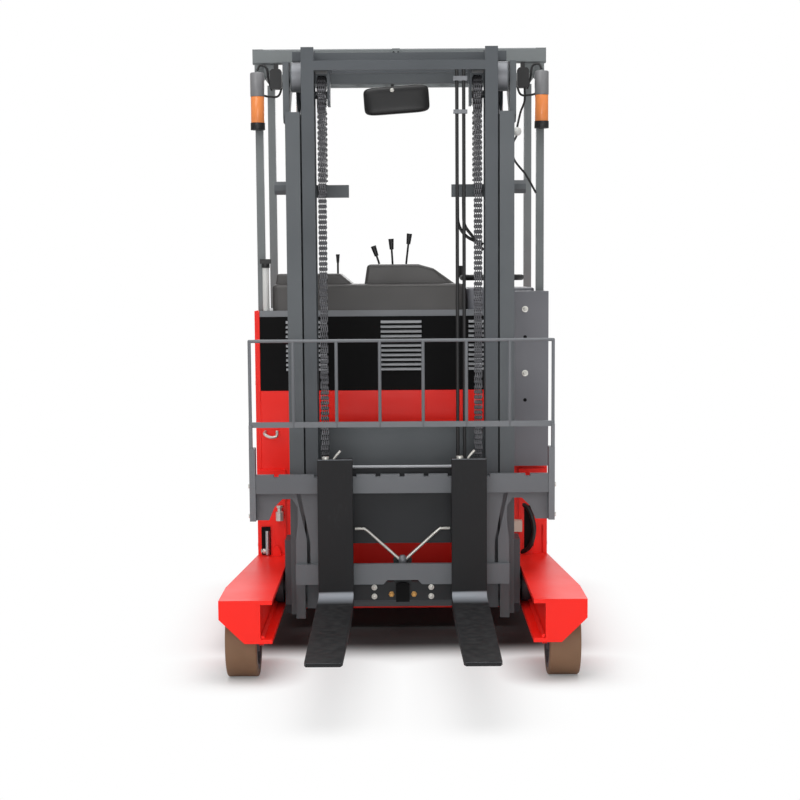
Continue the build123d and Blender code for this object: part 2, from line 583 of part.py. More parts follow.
# Inner mast stage
def inner_mast():
    web_out = INNER_WEB_X0 + INNER_WEB
    shape = block(INNER_WEB_X0, web_out, MAST_FRONT_Y, MAST_REAR_Y, INNER_BOTTOM_Z, INNER_TOP_Z)
    for y0 in (MAST_FRONT_Y, MAST_REAR_Y - FLANGE):
        shape += block(INNER_X0, INNER_X1, y0, y0 + FLANGE, INNER_BOTTOM_Z, INNER_TOP_Z)
    shape += rod_x(web_out, OUTER_X1 - 23, ROLLER_Y, INNER_ROLLER_Z, 20)
    shape += rod_x(INNER_X1 - 9, OUTER_X1 - 23, ROLLER_Y, INNER_ROLLER_Z, ROLLER_R)
    shape += block(INNER_X0, OUTER_X1 - 21, MAST_REAR_Y, LIFT_Y + LIFT_BARREL_R, 2195, INNER_TOP_Z)
    shape += block(CHAIN_X0 - 16, CHAIN_X0 - 6, -30, 50, SHEAVE_Z - 40, 2160)
    shape += block(CHAIN_X0 - 16, INNER_X0, -44, 64, 2150, 2162)
    shape += rod_x(CHAIN_X0 - 12, INNER_WEB_X0 + 1, ROLLER_Y, SHEAVE_Z, 14)
    shape = pair(shape)
    shape += block(-INNER_X0, INNER_X0, MAST_FRONT_Y, MAST_FRONT_Y + FLANGE, 2148, 2182)
    shape += block(-INNER_X0, INNER_X0, MAST_REAR_Y - FLANGE, MAST_REAR_Y, 2150, 2225)
    shape += block(-INNER_X0, INNER_X0, MAST_REAR_Y - 14, MAST_REAR_Y, INNER_BOTTOM_Z, 230)
    return shape


save("inner_mast", inner_mast())

# Chain sheaves with a groove, between their brackets
sheave = rod_x(CHAIN_X0 - 3, CHAIN_X1 + 3, ROLLER_Y, SHEAVE_Z, SHEAVE_R + 8)
sheave -= rod_x(CHAIN_X0 - 0.5, CHAIN_X1 + 0.5, ROLLER_Y, SHEAVE_Z, SHEAVE_R + 9) - rod_x(
    CHAIN_X0 - 1, CHAIN_X1 + 1, ROLLER_Y, SHEAVE_Z, SHEAVE_R)
sheave -= rod_x(CHAIN_X0 - 4, CHAIN_X1 + 4, ROLLER_Y, SHEAVE_Z, 14 + RUNNING_CLEARANCE)
save("chain_sheaves", sheave, flip(sheave))


# Leaf chains: full at each pin, with a waist between two pins, and half a turn over the sheave
def chain_strap(y0, z0, z1):
    links = round((z1 - z0) / CHAIN_LINK)
    pitch = (z1 - z0) / links
    waist = [(CHAIN_WAIST * (step % 2), z0 + step * pitch / 2) for step in range(2 * links + 1)]
    side = [(y0 + depth, z) for depth, z in waist]
    side += [(y0 + CHAIN_THICK - depth, z) for depth, z in reversed(waist)]
    return plate_x(side, CHAIN_X0, CHAIN_X1)


front_y = ROLLER_Y - SHEAVE_R - CHAIN_THICK
rear_y = ROLLER_Y + SHEAVE_R
wrap = rod_x(CHAIN_X0, CHAIN_X1, ROLLER_Y, SHEAVE_Z, SHEAVE_R + CHAIN_THICK)
wrap -= rod_x(CHAIN_X0 - 1, CHAIN_X1 + 1, ROLLER_Y, SHEAVE_Z, SHEAVE_R)
wrap &= block(CHAIN_X0, CHAIN_X1, -200, 200, SHEAVE_Z, SHEAVE_Z + 200)
front_chain = chain_strap(front_y, CHAIN_ANCHOR_Z, SHEAVE_Z) + wrap
save("front_chains", front_chain, flip(front_chain))
rear_chain = chain_strap(rear_y, REAR_ANCHOR_Z, SHEAVE_Z)
save("rear_chains", rear_chain, flip(rear_chain))

# Two hoses down the inside of the left upright
hoses = [rod_z(CHAIN_ANCHOR_Z + 5, 2147.5, x, -54, 6.5) for x in (209, 234)]
save("mast_hoses", *hoses)


# Lift carriage: side plates with rollers, cross plates, chain anchors, tilt pin and ram socket
def lift_carriage():
    plate = [(CARRIAGE_FRONT_Y, CARRIAGE_BOTTOM_Z), (-60, CARRIAGE_BOTTOM_Z), (CARRIAGE_REAR_Y, 190),
             (CARRIAGE_REAR_Y, 600), (10, CARRIAGE_TOP_Z), (CARRIAGE_FRONT_Y, CARRIAGE_TOP_Z)]
    shape = plate_x(plate, CARRIAGE_X0, CARRIAGE_X1)
    for z in CARRIAGE_ROLLER_ZS:
        shape += rod_x(CARRIAGE_X1, INNER_WEB_X0 - 3, ROLLER_Y, z, 18)
        shape += rod_x(INNER_X0 - 8, INNER_WEB_X0 - 3, ROLLER_Y, z, ROLLER_R)
    lug = [(CARRIAGE_FRONT_Y, TILT_Z - 40), (TILT_Y - 20, TILT_Z - 14), (TILT_Y - 20, TILT_Z + 14),
           (CARRIAGE_FRONT_Y, TILT_Z + 40)]
    shape += plate_x(lug, CARRIAGE_X0, CARRIAGE_X1)
    shape += rod_x(CARRIAGE_X0, CARRIAGE_X1 + 22, TILT_Y, TILT_Z, TILT_PIN_R)
    shape += block(CHAIN_X0 - 4, CARRIAGE_X1, -78, -26, CARRIAGE_TOP_Z - 40, CHAIN_ANCHOR_Z)
    shape = pair(shape)
    for z0, z1 in CARRIAGE_PLATES:
        shape += block(-CARRIAGE_X0, CARRIAGE_X0, CARRIAGE_FRONT_Y, CARRIAGE_FRONT_Y + SHEET, z0, z1)
    socket = rod_y(CARRIAGE_FRONT_Y + 2, 10, 0, TILT_RAM_Z, 34)
    socket += block(-34, 34, CARRIAGE_FRONT_Y, CARRIAGE_FRONT_Y + SHEET, 265, 360)
    socket -= rod_y(CARRIAGE_FRONT_Y - 1, 0, 0, TILT_RAM_Z, 13)
    shape += block(197, 246, CARRIAGE_FRONT_Y + SHEET, -44, CHAIN_ANCHOR_Z - 10, CHAIN_ANCHOR_Z + 5)
    return shape + socket


save("lift_carriage", lift_carriage())
ram = rod_y(-150, -30, 0, TILT_RAM_Z, 11) + rod_x(-9, 9, -150, TILT_RAM_Z, 20)
ram -= rod_x(-12, 12, -150, TILT_RAM_Z, 8 + EYE_CLEARANCE)
save("tilt_ram", ram)
pipe_path = Polyline((-168, -93, 500), (-140, -93, 498), (-12, -93, 372))
pipe = sweep(Plane(pipe_path @ 0, z_dir=pipe_path % 0) * Circle(7), pipe_path, transition=Transition.ROUND)
save("tilt_pipes", pipe, flip(pipe))


# Fork carriage: two bars, the plates between them, wings and tilt lugs
def fork_carriage():
    shape = block(-UPPER_BAR_HALF, UPPER_BAR_HALF, BAR_FRONT_Y, BAR_REAR_Y, BAR_TOP_Z - UPPER_BAR_HEIGHT, BAR_TOP_Z)
    for x in (-460, -312, -176, -88, 0, 88, 176, 312, 460):
        shape -= block(x - 9, x + 9, BAR_FRONT_Y - 1, BAR_REAR_Y + 1, BAR_TOP_Z - 9, BAR_TOP_Z + 1)
    lower = block(-LOWER_BAR_HALF, LOWER_BAR_HALF, BAR_FRONT_Y, BAR_REAR_Y, LOWER_BAR_Z, LOWER_BAR_Z + LOWER_BAR_HEIGHT)
    cut = [(-72, LOWER_BAR_Z - 1), (72, LOWER_BAR_Z - 1), (56, LOWER_BAR_Z + 16), (-56, LOWER_BAR_Z + 16)]
    shape += lower - plate_y(cut, BAR_FRONT_Y - 1, BAR_REAR_Y + 1)
    side = [(536, 640), (536, 512), (490, 512), (470, 560), (440, 590), (405, 590), (385, 560), (385, 500),
            (393, 440), (393, LOWER_BAR_Z), (352, LOWER_BAR_Z), (352, 440), (395, 640)]
    inner = [(380, 640), (340, 430), (340, 296), (304, 296), (304, 640)]
    shape += pair(plate_y(side, BAR_REAR_Y, PLATE_REAR_Y))
    shape += pair(plate_y(inner, BAR_REAR_Y, PLATE_REAR_Y))
    lug = [(PLATE_REAR_Y, TILT_Z - 50), (TILT_Y + 24, TILT_Z - 24), (TILT_Y + 24, TILT_Z + 24), (PLATE_REAR_Y, TILT_Z + 48)]
    shape += pair(plate_x(lug, CARRIAGE_X1 + 4, CARRIAGE_X1 + 22) - rod_x(CARRIAGE_X1 + 3, CARRIAGE_X1 + 23, TILT_Y, TILT_Z, TILT_PIN_R + RUNNING_CLEARANCE))
    for x in (-31, 13):
        shape += block(x, x + 18, BAR_REAR_Y, -132, TILT_RAM_Z - 22, TILT_RAM_Z + 22)
    shape += rod_x(-30, 30, -150, TILT_RAM_Z, 8)
    return shape


save("fork_carriage", fork_carriage())


# Load backrest of thin rods, with a flat lower bar and two side brackets
def backrest():
    top_r = BACKREST_BAR_R
    shape = rod_x(-BACKREST_HALF, BACKREST_HALF, BACKREST_Y, BACKREST_TOP_Z, top_r)
    pitch = 2 * BACKREST_HALF / BACKREST_GAPS
    for step in range(BACKREST_GAPS + 1):
        x = -BACKREST_HALF + step * pitch
        shape += rod_z(BACKREST_LOW_Z, BACKREST_TOP_Z, x, BACKREST_Y, top_r)
        shape += Pos(x, BACKREST_Y, BACKREST_TOP_Z) * Sphere(top_r)
    shape += block(-BACKREST_HALF - 6, BACKREST_HALF + 6, BACKREST_Y - 5, BACKREST_Y + 5, BACKREST_LOW_Z, BACKREST_LOW_Z + 20)
    shape += pair(block(BACKREST_HALF - 6, BACKREST_HALF + 6, BACKREST_Y - 14, BACKREST_Y + 14, 770, BACKREST_LOW_Z + 10))
    shape += pair(block(UPPER_BAR_HALF, BACKREST_HALF + 6, BACKREST_Y - 18, PLATE_REAR_Y + 10, 512, 780))
    return shape


save("load_backrest", backrest())


# Forks: hooked shank and a blade that tapers to its tip
def fork():
    shank_back = BAR_FRONT_Y
    shank_front = BAR_FRONT_Y - FORK_THICK
    low = FORK_TOP_Z - FORK_THICK
    shank_back -= RUNNING_CLEARANCE
    side = [(shank_back, FORK_SHANK_TOP_Z), (shank_front, FORK_SHANK_TOP_Z), (shank_front, FORK_TOP_Z),
            (FORK_TIP_Y, FORK_TOP_Z), (FORK_TIP_Y, FORK_TOP_Z - 12), (shank_front - 420, low),
            (shank_back, low)]
    shape = plate_x(side, FORK_X - FORK_HALF_WIDTH, FORK_X + FORK_HALF_WIDTH)
    bends = shape.edges().filter_by(Axis.X)
    shape = fillet(bends.filter_by(lambda e: abs(e.center().Y - shank_back) < 1 and e.center().Z < FORK_TOP_Z), HEEL_R)
    bends = shape.edges().filter_by(Axis.X)
    inner = bends.filter_by(lambda e: abs(e.center().Y - shank_front) < 1 and abs(e.center().Z - FORK_TOP_Z) < 1)
    shape = fillet(inner, HEEL_R - FORK_THICK / 2)
    taper = FORK_HALF_WIDTH - FORK_TIP_HALF
    for edge, sign in ((FORK_X + FORK_HALF_WIDTH, 1), (FORK_X - FORK_HALF_WIDTH, -1)):
        corner = [(edge, shank_front - 300), (edge + sign * 20, shank_front - 300),
                  (edge + sign * 20, FORK_TIP_Y - 1), (edge - sign * taper - sign * 6, FORK_TIP_Y - 1),
                  (edge - sign * taper, FORK_TIP_Y + 20)]
        shape -= plate_z(corner, low - 1, FORK_TOP_Z + 1)
    x0 = FORK_X - FORK_HALF_WIDTH + 8
    x1 = FORK_X + FORK_HALF_WIDTH - 8
    rear = BAR_REAR_Y + RUNNING_CLEARANCE
    top = BAR_TOP_Z + RUNNING_CLEARANCE
    shape += block(x0, x1, shank_back - 2, BAR_REAR_Y + 14, top, BAR_TOP_Z + 20)
    shape += block(x0, x1, rear, BAR_REAR_Y + 14, BAR_TOP_Z - 18, BAR_TOP_Z + 20)
    bottom = LOWER_BAR_Z - RUNNING_CLEARANCE
    shape += block(x0, x1, shank_back - 2, BAR_REAR_Y + 14, LOWER_BAR_Z - 18, bottom)
    shape += block(x0, x1, rear, BAR_REAR_Y + 14, LOWER_BAR_Z - 18, LOWER_BAR_Z + 14)
    return shape


save("fork_left", fork())
save("fork_right", flip(fork()))


# Overhead guard: four posts, a frame and roof bars
def guard():
    front = GUARD_FRONT_Y
    beam = block(-GUARD_HALF, GUARD_HALF, front, front + 40, GUARD_BEAM_Z, GUARD_TOP_Z)
    beam = fillet(beam.edges().filter_by(Axis.X), 6)
    beam += block(-GUARD_HALF, GUARD_HALF, GUARD_REAR_Y - 40, GUARD_REAR_Y, GUARD_BEAM_Z, GUARD_TOP_Z)
    beam += pair(block(GUARD_HALF - 40, GUARD_HALF, front, GUARD_REAR_Y, GUARD_BEAM_Z + 10, GUARD_TOP_Z))
    for step in range(1, 9):
        x = -GUARD_HALF + 20 + step * (2 * GUARD_HALF - 40) / 9
        beam += block(x - 8, x + 8, front, GUARD_REAR_Y, GUARD_BEAM_Z + 16, GUARD_TOP_Z - 6)
    post = block(POST_X - POST_HALF, POST_X + POST_HALF, front + 5, front + 35, STRIP_TOP_Z, GUARD_BEAM_Z + 5)
    rear = block(POST_X - 4, POST_X + 28, GUARD_REAR_Y - 80, GUARD_REAR_Y - 40, HOOD_TOP_Z, GUARD_BEAM_Z + 5)
    gusset = [(POST_X - POST_HALF, GUARD_BEAM_Z), (POST_X - 75, GUARD_BEAM_Z), (POST_X - POST_HALF, GUARD_BEAM_Z - 70)]
    return beam + pair(post + rear + plate_y(gusset, front + 10, front + 20))


save("overhead_guard", guard())

# Mirror under the front beam, lamps on the posts and beside the mast
mirror_top = GUARD_BEAM_Z - 100
mirror_shell = fillet(block(-112, 112, 392, 424, mirror_top - 92, mirror_top).edges(), 12)
mirror_arm = rod_z(mirror_top - 2, GUARD_BEAM_Z, -30, 408, 8)
save("rear_mirror", mirror_shell + mirror_arm)
lamp_x = 551
lamp_y = 356
lens_z = GUARD_BEAM_Z - 227
lens = rod_z(lens_z, lens_z + 100, lamp_x, lamp_y, 26)
save("indicator_lamps", lens, flip(lens))
base = rod_z(lens_z - 27, lens_z, lamp_x, lamp_y, 28)
base += block(lamp_x - 12, lamp_x + 12, lamp_y, GUARD_FRONT_Y + 5, lens_z - 25, lens_z - 2)
base += rod_z(lens_z + 100, lens_z + 108, lamp_x, lamp_y, 24)
save("lamp_bases", base, flip(base))
work = block(455, 500, 330, 372, GUARD_BEAM_Z - 100, GUARD_BEAM_Z - 24)
work = fillet(work.edges().filter_by(Axis.Y), 12)
work += block(470, 486, 360, GUARD_FRONT_Y + 10, GUARD_BEAM_Z - 32, GUARD_BEAM_Z)
save("work_lamps", work, flip(work))
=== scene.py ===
"""Dressing of a stand-on electric reach truck: finishes, studio and the small pieces on its frame."""

from __future__ import annotations

import logging
import math
from dataclasses import dataclass, field
from enum import Enum
from functools import cache

import bmesh
import bpy
import numpy as np
from mathutils import Matrix, Vector


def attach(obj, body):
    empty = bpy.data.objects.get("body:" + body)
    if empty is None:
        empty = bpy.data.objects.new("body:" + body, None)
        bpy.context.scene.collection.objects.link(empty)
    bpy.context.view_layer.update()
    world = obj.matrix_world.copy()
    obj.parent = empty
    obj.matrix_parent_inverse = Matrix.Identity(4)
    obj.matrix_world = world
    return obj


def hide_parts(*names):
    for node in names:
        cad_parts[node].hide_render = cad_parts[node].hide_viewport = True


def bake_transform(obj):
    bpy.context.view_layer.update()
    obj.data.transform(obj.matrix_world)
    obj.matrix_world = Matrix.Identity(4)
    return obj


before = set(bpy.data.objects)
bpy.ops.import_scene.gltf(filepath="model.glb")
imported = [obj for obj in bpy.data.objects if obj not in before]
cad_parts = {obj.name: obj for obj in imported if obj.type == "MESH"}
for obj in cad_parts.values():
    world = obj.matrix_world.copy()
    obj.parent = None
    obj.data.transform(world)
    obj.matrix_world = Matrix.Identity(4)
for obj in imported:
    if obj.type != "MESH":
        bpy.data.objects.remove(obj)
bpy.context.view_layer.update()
LOG = logging.getLogger("reach_truck")
MM = 0.001
Colour = tuple[int, int, int]
Point = tuple[float, float, float]
Tree = bpy.types.NodeTree
Socket = bpy.types.NodeSocket
Patch = tuple[np.ndarray, np.ndarray]


class Axis(Enum):
    """One of the frame's three directions."""

    X = 0
    Y = 1
    Z = 2


def linear(red: int, green: int, blue: int) -> tuple[float, float, float, float]:
    """Turn a screen colour of 0 to 255 a channel into linear light.

    Args:
        red: Red channel.
        green: Green channel.
        blue: Blue channel.

    Returns:
        The colour as four linear numbers with full opacity.
    """
    parts = [c / 255 for c in (red, green, blue)]
    made = [c / 12.92 if c <= 0.04045 else ((c + 0.055) / 1.055) ** 2.4 for c in parts]
    return (made[0], made[1], made[2], 1.0)


class NodeShop:
    """Adds shader nodes to one tree, and builds the node groups, each once."""

    def __init__(self, tree: Tree) -> None:
        """Work on a tree.

        Args:
            tree: The tree that gets the nodes.
        """
        self.tree = tree

    @staticmethod
    def open(name: str, inputs: list[tuple[str, str, object]], outputs: list[tuple[str, str]]) -> tuple:
        """Start a group with named sockets.

        Args:
            name: The group's name.
            inputs: Rows of socket name, kind ("Color" or "Float") and default.
            outputs: Rows of socket name and kind.

        Returns:
            A shop for the group's tree, its input node's outputs and its output node's inputs.
        """
        tree = bpy.data.node_groups.new(name, "ShaderNodeTree")
        for label, kind, default in inputs:
            socket = tree.interface.new_socket(name=label, in_out="INPUT", socket_type=f"NodeSocket{kind}")
            socket.default_value = default
        for label, kind in outputs:
            tree.interface.new_socket(name=label, in_out="OUTPUT", socket_type=f"NodeSocket{kind}")
        given, result = tree.nodes.new("NodeGroupInput"), tree.nodes.new("NodeGroupOutput")
        return NodeShop(tree), given.outputs, result.inputs

    def feed(self, target: Socket, value: object) -> None:
        """Link a socket to an input, or set the input to a plain value.

        Args:
            target: The input.
            value: A socket or a plain value.
        """
        if isinstance(value, Socket):
            self.tree.links.new(value, target)
        else:
            target.default_value = value

    def use(self, group: Tree, values: dict[str, object]) -> bpy.types.bpy_prop_collection:
        """Place a group in a material and feed its inputs.

        Args:
            group: The group's tree.
            values: A socket or a plain value for each input's name.

        Returns:
            The group's outputs, by name.
        """
        node = self.tree.nodes.new("ShaderNodeGroup")
        node.node_tree = group
        for label, value in values.items():
            self.feed(node.inputs[label], value)
        return node.outputs

    def maths(self, operation: str, first: object, second: object) -> Socket:
        """Add a Math node.

        Args:
            operation: Blender's name of the operation.
            first: A socket or a number.
            second: A socket or a number.

        Returns:
            The node's result.
        """
        node = self.tree.nodes.new("ShaderNodeMath")
        node.operation = operation
        self.feed(node.inputs[0], first)
        self.feed(node.inputs[1], second)
        return node.outputs[0]

    def product(self, first: object, *others: object) -> Socket:
        """Multiply values, each a socket or a number.

        Args:
            first: The first value.
            others: The values it is multiplied by.

        Returns:
            The product.
        """
        for other in others:
            first = self.maths("MULTIPLY", first, other)
        return first

    def split(self, kind: str, output: str) -> bpy.types.bpy_prop_collection:
        """Take apart the X, Y and Z that a new node gives out.

        Args:
            kind: Blender's name of the node's kind.
            output: Name of the node's output.

        Returns:
            The parts, by name.
        """
        parts = self.tree.nodes.new("ShaderNodeSeparateXYZ")
        self.tree.links.new(self.tree.nodes.new(kind).outputs[output], parts.inputs["Vector"])
        return parts.outputs

    def noise(self, scale: object, detail: float, stretch: Point = (1, 1, 1)) -> Socket:
        """Add a noise on Object coordinates.

        Args:
            scale: A socket or a number for the noise's scale.
            detail: The noise's octaves.
            stretch: Scale of the pattern along each direction.

        Returns:
            The noise's value.
        """
        mapping = self.tree.nodes.new("ShaderNodeMapping")
        mapping.inputs["Scale"].default_value = stretch
        cloud = self.tree.nodes.new("ShaderNodeTexNoise")
        cloud.inputs["Detail"].default_value = detail
        self.tree.links.new(self.tree.nodes.new("ShaderNodeTexCoord").outputs["Object"],
                            mapping.inputs["Vector"])
        self.tree.links.new(mapping.outputs["Vector"], cloud.inputs["Vector"])
        self.feed(cloud.inputs["Scale"], scale)
        return cloud.outputs["Fac"]

    def ramp(self, value: Socket, low: float, high: float) -> Socket:
        """Stretch a value so that low becomes 0 and high becomes 1, and clip it.

        Args:
            value: The value to stretch.
            low: What becomes 0.
            high: What becomes 1.

        Returns:
            The stretched value.
        """
        node = self.tree.nodes.new("ShaderNodeMapRange")
        node.inputs["From Min"].default_value = low
        node.inputs["From Max"].default_value = high
        self.tree.links.new(value, node.inputs["Value"])
        return node.outputs["Result"]

    def mix(self, factor: Socket, first: Socket, second: Socket) -> Socket:
        """Mix two colours.

        Args:
            factor: Share of the second colour.
            first: The colour at 0.
            second: The colour at 1.

        Returns:
            The mixed colour.
        """
        node = self.tree.nodes.new("ShaderNodeMix")
        node.data_type = "RGBA"
        for label, source in (("Factor", factor), ("A", first), ("B", second)):
            self.tree.links.new(source, node.inputs[label])
        return node.outputs["Result"]

    @staticmethod
    @cache
    def bend() -> Tree:
        """Painted highlight: a lighter steel colour where the skin leans halfway between forwards and up, and
        on the upward faces of the blade's root.

        Returns:
            The group's tree.
        """
        shop, given, result = NodeShop.open(
            "PaintedHeelHighlight", [("Colour", "Color", (0.1, 0.1, 0.1, 1)), ("Bare And Highlight", "Color", (0.4, 0.4, 0.4, 1))],
            [("Colour", "Color")])
        normal = shop.split("ShaderNodeNewGeometry", "Normal")
        place = shop.split("ShaderNodeTexCoord", "Object")
        lean = shop.product(normal["Y"], normal["Z"], -2.0)
        below_shank = shop.ramp(place["Z"], 0.31, 0.275)
        near_heel = shop.ramp(place["Y"], -0.38, -0.27)
        faces_up = shop.ramp(normal["Z"], 0.2, 0.6)
        root = shop.product(below_shank, near_heel, faces_up)
        # Painted highlight where light falls on the heel's bend and on the blade root's upward faces.
        highlight_mask = shop.maths("MAXIMUM", shop.ramp(lean, 0.15, 0.7), root)
        bare_and_highlight = shop.product(highlight_mask, 0.85)
        shop.feed(result["Colour"], shop.mix(bare_and_highlight, given["Colour"], given["Bare And Highlight"]))
        return shop.tree

    @staticmethod
    @cache
    def film() -> Tree:
        """Cloudy tint, dust that settles on upward faces, and fine specks, as one group.

        Returns:
            The group's tree.
        """
        shop, given, result = NodeShop.open(
            "SurfaceFilm",
            [("Colour", "Color", (0.5, 0.5, 0.5, 1)), ("Shade", "Color", (0.4, 0.4, 0.4, 1)),
             ("Dust", "Color", (0.6, 0.58, 0.55, 1)), ("Cloud Scale", "Float", 4.0),
             ("Cloud Amount", "Float", 0.5), ("Dust Amount", "Float", 0.1),
             ("Roughness", "Float", 0.4), ("Rough Spread", "Float", 0.1)],
            [("Colour", "Color"), ("Roughness", "Float")])
        cloud = shop.ramp(shop.noise(given["Cloud Scale"], 5.0), 0.35, 0.72)
        share = shop.product(cloud, given["Cloud Amount"])
        tinted = shop.mix(share, given["Colour"], given["Shade"])
        up = shop.ramp(shop.split("ShaderNodeNewGeometry", "Normal")["Z"], 0.55, 1.0)
        specks = shop.ramp(shop.noise(38.0, 8.0), 0.42, 0.66)
        dusty = shop.product(up, specks, given["Dust Amount"])
        centred = shop.maths("SUBTRACT", cloud, 0.5)
        spread = shop.product(centred, given["Rough Spread"])
        rough = shop.maths("ADD", given["Roughness"], spread)
        rough = shop.maths("ADD", rough, shop.product(dusty, 0.5))
        shop.feed(result["Colour"], shop.mix(dusty, tinted, given["Dust"]))
        shop.feed(result["Roughness"], rough)
        return shop.tree

    @staticmethod
    @cache
    def relief() -> Tree:
        """Height of a sprayed, cast or moulded skin: a coarse ripple and a fine grain.

        Returns:
            The group's tree.
        """
        shop, given, result = NodeShop.open(
            "SkinRelief",
            [("Ripple Scale", "Float", 60.0), ("Grain Scale", "Float", 600.0),
             ("Grain Share", "Float", 0.3)],
            [("Height", "Float")])
        ripple = shop.noise(given["Ripple Scale"], 2.0)
        grain = shop.product(shop.noise(given["Grain Scale"], 3.0), given["Grain Share"])
        shop.feed(result["Height"], shop.maths("ADD", ripple, grain))
        return shop.tree

    @staticmethod
    @cache
    def scuff() -> Tree:
        """Rubbed streaks, long in one direction, that wear through to a second colour.

        Returns:
            The group's tree.
        """
        shop, given, result = NodeShop.open(
            "RubbedStreaks",
            [("Colour", "Color", (0.1, 0.1, 0.1, 1)), ("Bare And Highlight", "Color", (0.4, 0.4, 0.4, 1)),
             ("Amount", "Float", 0.3)], [("Colour", "Color")])
        streak = shop.ramp(shop.noise(9.0, 6.0, (14, 0.7, 4)), 0.56, 0.74)
        patch = shop.ramp(shop.noise(3.5, 3.0), 0.45, 0.7)
        mask = shop.product(streak, patch, given["Amount"])
        shop.feed(result["Colour"], shop.mix(mask, given["Colour"], given["Bare And Highlight"]))
        return shop.tree


COAT_ROUGHNESS = 0.12


@dataclass(frozen=True)
class Finish:
    """A sprayed, moulded, cast or uncoated surface, with its skin and its film of dust."""

    name: str
    colour: Colour
    shade: Colour
    roughness: float
    metal: float = 0.0
    coat: float = 0.0
    cloud_scale: float = 4.0
    cloud: float = 0.45
    dust: float = 0.12
    spread: float = 0.1
    ripple: float = 60.0
    grain: float = 600.0
    grain_share: float = 0.3
    depth_mm: float = 0.05
    streaks: float = 0.0
    bare_and_highlight: Colour = (150, 150, 150)
    glow: float = 0.0
    specular: float = 0.5
    # Colour of a painted highlight on a fork's heel bend and blade root.
    bend: Colour | None = None

    @cache
    def material(self) -> bpy.types.Material:
        """Build the material, once for each finish.

        Returns:
            The material.
        """
        made = bpy.data.materials.new(f"{self.name}_skin")
        made.use_nodes = True
        shop = NodeShop(made.node_tree)
        shader = shop.tree.nodes["Principled BSDF"].inputs
        film = shop.use(NodeShop.film(), {
            "Colour": linear(*self.colour), "Shade": linear(*self.shade), "Cloud Scale": self.cloud_scale,
            "Cloud Amount": self.cloud, "Dust Amount": self.dust, "Roughness": self.roughness,
            "Rough Spread": self.spread})
        colour = film["Colour"]
        if self.streaks:
            values = {"Colour": colour, "Bare And Highlight": linear(*self.bare_and_highlight), "Amount": self.streaks}
            colour = shop.use(NodeShop.scuff(), values)["Colour"]
        # Painted highlight in the bend colour on the fork heel's bend and blade root.
        if self.bend is not None:
            values = {"Colour": colour, "Bare And Highlight": linear(*self.bend)}
            colour = shop.use(NodeShop.bend(), values)["Colour"]
        skin = shop.use(NodeShop.relief(), {
            "Ripple Scale": self.ripple, "Grain Scale": self.grain, "Grain Share": self.grain_share})
        bump = shop.tree.nodes.new("ShaderNodeBump")
        bump.inputs["Strength"].default_value = 1.0
        bump.inputs["Distance"].default_value = self.depth_mm * MM
        shop.feed(bump.inputs["Height"], skin["Height"])
        fed = {"Base Color": colour, "Roughness": film["Roughness"], "Normal": bump.outputs["Normal"],
               "Metallic": self.metal, "Coat Weight": self.coat, "Coat Roughness": COAT_ROUGHNESS,
               "Specular IOR Level": self.specular}
        if self.glow:
            fed.update({"Emission Color": colour, "Emission Strength": self.glow})
        for label, value in fed.items():
            shop.feed(shader[label], value)
        return made


RED_PAINT = Finish("red_paint", (252, 30, 16), (244, 26, 14), 0.38, coat=0.04, cloud=0.3, dust=0.03,
                   ripple=16, grain=300, grain_share=0.1, depth_mm=0.02, specular=0.25)
MAST_PAINT = Finish("mast_paint", (90, 94, 97), (80, 84, 87), 0.5, cloud=0.5, dust=0.05, specular=0.3)
INNER_PAINT = Finish("inner_mast_paint", (80, 84, 88), (70, 74, 77), 0.5, cloud=0.5, dust=0.04,
                     specular=0.3)
CARRIAGE_PAINT = Finish("carriage_paint", (96, 99, 103), (84, 87, 91), 0.46, cloud=0.55, dust=0.10,
                        specular=0.4)
GUARD_PAINT = Finish("guard_paint", (112, 117, 118), (98, 103, 104), 0.46, cloud=0.4, dust=0.08)
RAIL_PAINT = Finish("rail_paint", (104, 107, 111), (94, 97, 101), 0.42, cloud=0.4, dust=0.06)
REACH_PAINT = Finish("reach_paint", (70, 72, 76), (60, 62, 66), 0.5, cloud=0.5, dust=0.05, specular=0.35)
PLATE_PAINT = Finish("plate_paint", (35, 37, 40), (30, 32, 35), 0.5, cloud=0.5, dust=0.03, specular=0.3)
# Black paint on the louvre panel and the valve block; as thin sheets and discs it is painted shade in pockets
# and holes.
BLACK_PAINT_AND_SHADE = Finish("black_paint", (7, 7, 8), (11, 11, 12), 0.6, cloud=0.5, dust=0.02, specular=0.12)
TRIM_PAINT = Finish("trim_paint", (122, 125, 129), (108, 111, 115), 0.45, cloud=0.4, dust=0.05)
BOX_PAINT = Finish("box_paint", (112, 113, 119), (98, 100, 106), 0.45, cloud=0.4)
# The bend colour is a painted highlight on the heel's bend and the blade root; the streaks show a second
# steel colour as wear.
FORK_STEEL = Finish("fork_steel", (18, 18, 20), (27, 28, 31), 0.55, cloud=0.5, dust=0.03, streaks=0.10,
                    bare_and_highlight=(70, 72, 76), depth_mm=0.05, ripple=30, specular=0.28, bend=(158, 163, 170))
BRIGHT_STEEL = Finish("bright_steel", (176, 176, 178), (140, 140, 143), 0.3, metal=0.95, dust=0.0,
                      grain=900)
CHROME_ROD = Finish("chrome_rod", (205, 205, 208), (180, 180, 184), 0.12, metal=1.0, dust=0.0,
                    depth_mm=0.005)
CAST_GREY = Finish("cast_grey", (74, 76, 80), (58, 60, 64), 0.6, cloud=0.6, depth_mm=0.4, ripple=90,
                   grain=320)
POLYURETHANE = Finish("polyurethane", (126, 95, 71), (106, 78, 56), 0.55, cloud=0.5, cloud_scale=9,
                      dust=0.04, depth_mm=0.08, specular=0.35)
DRIVE_RUBBER = Finish("drive_rubber", (30, 30, 31), (42, 41, 40), 0.75, cloud=0.6, depth_mm=0.2, dust=0.3)
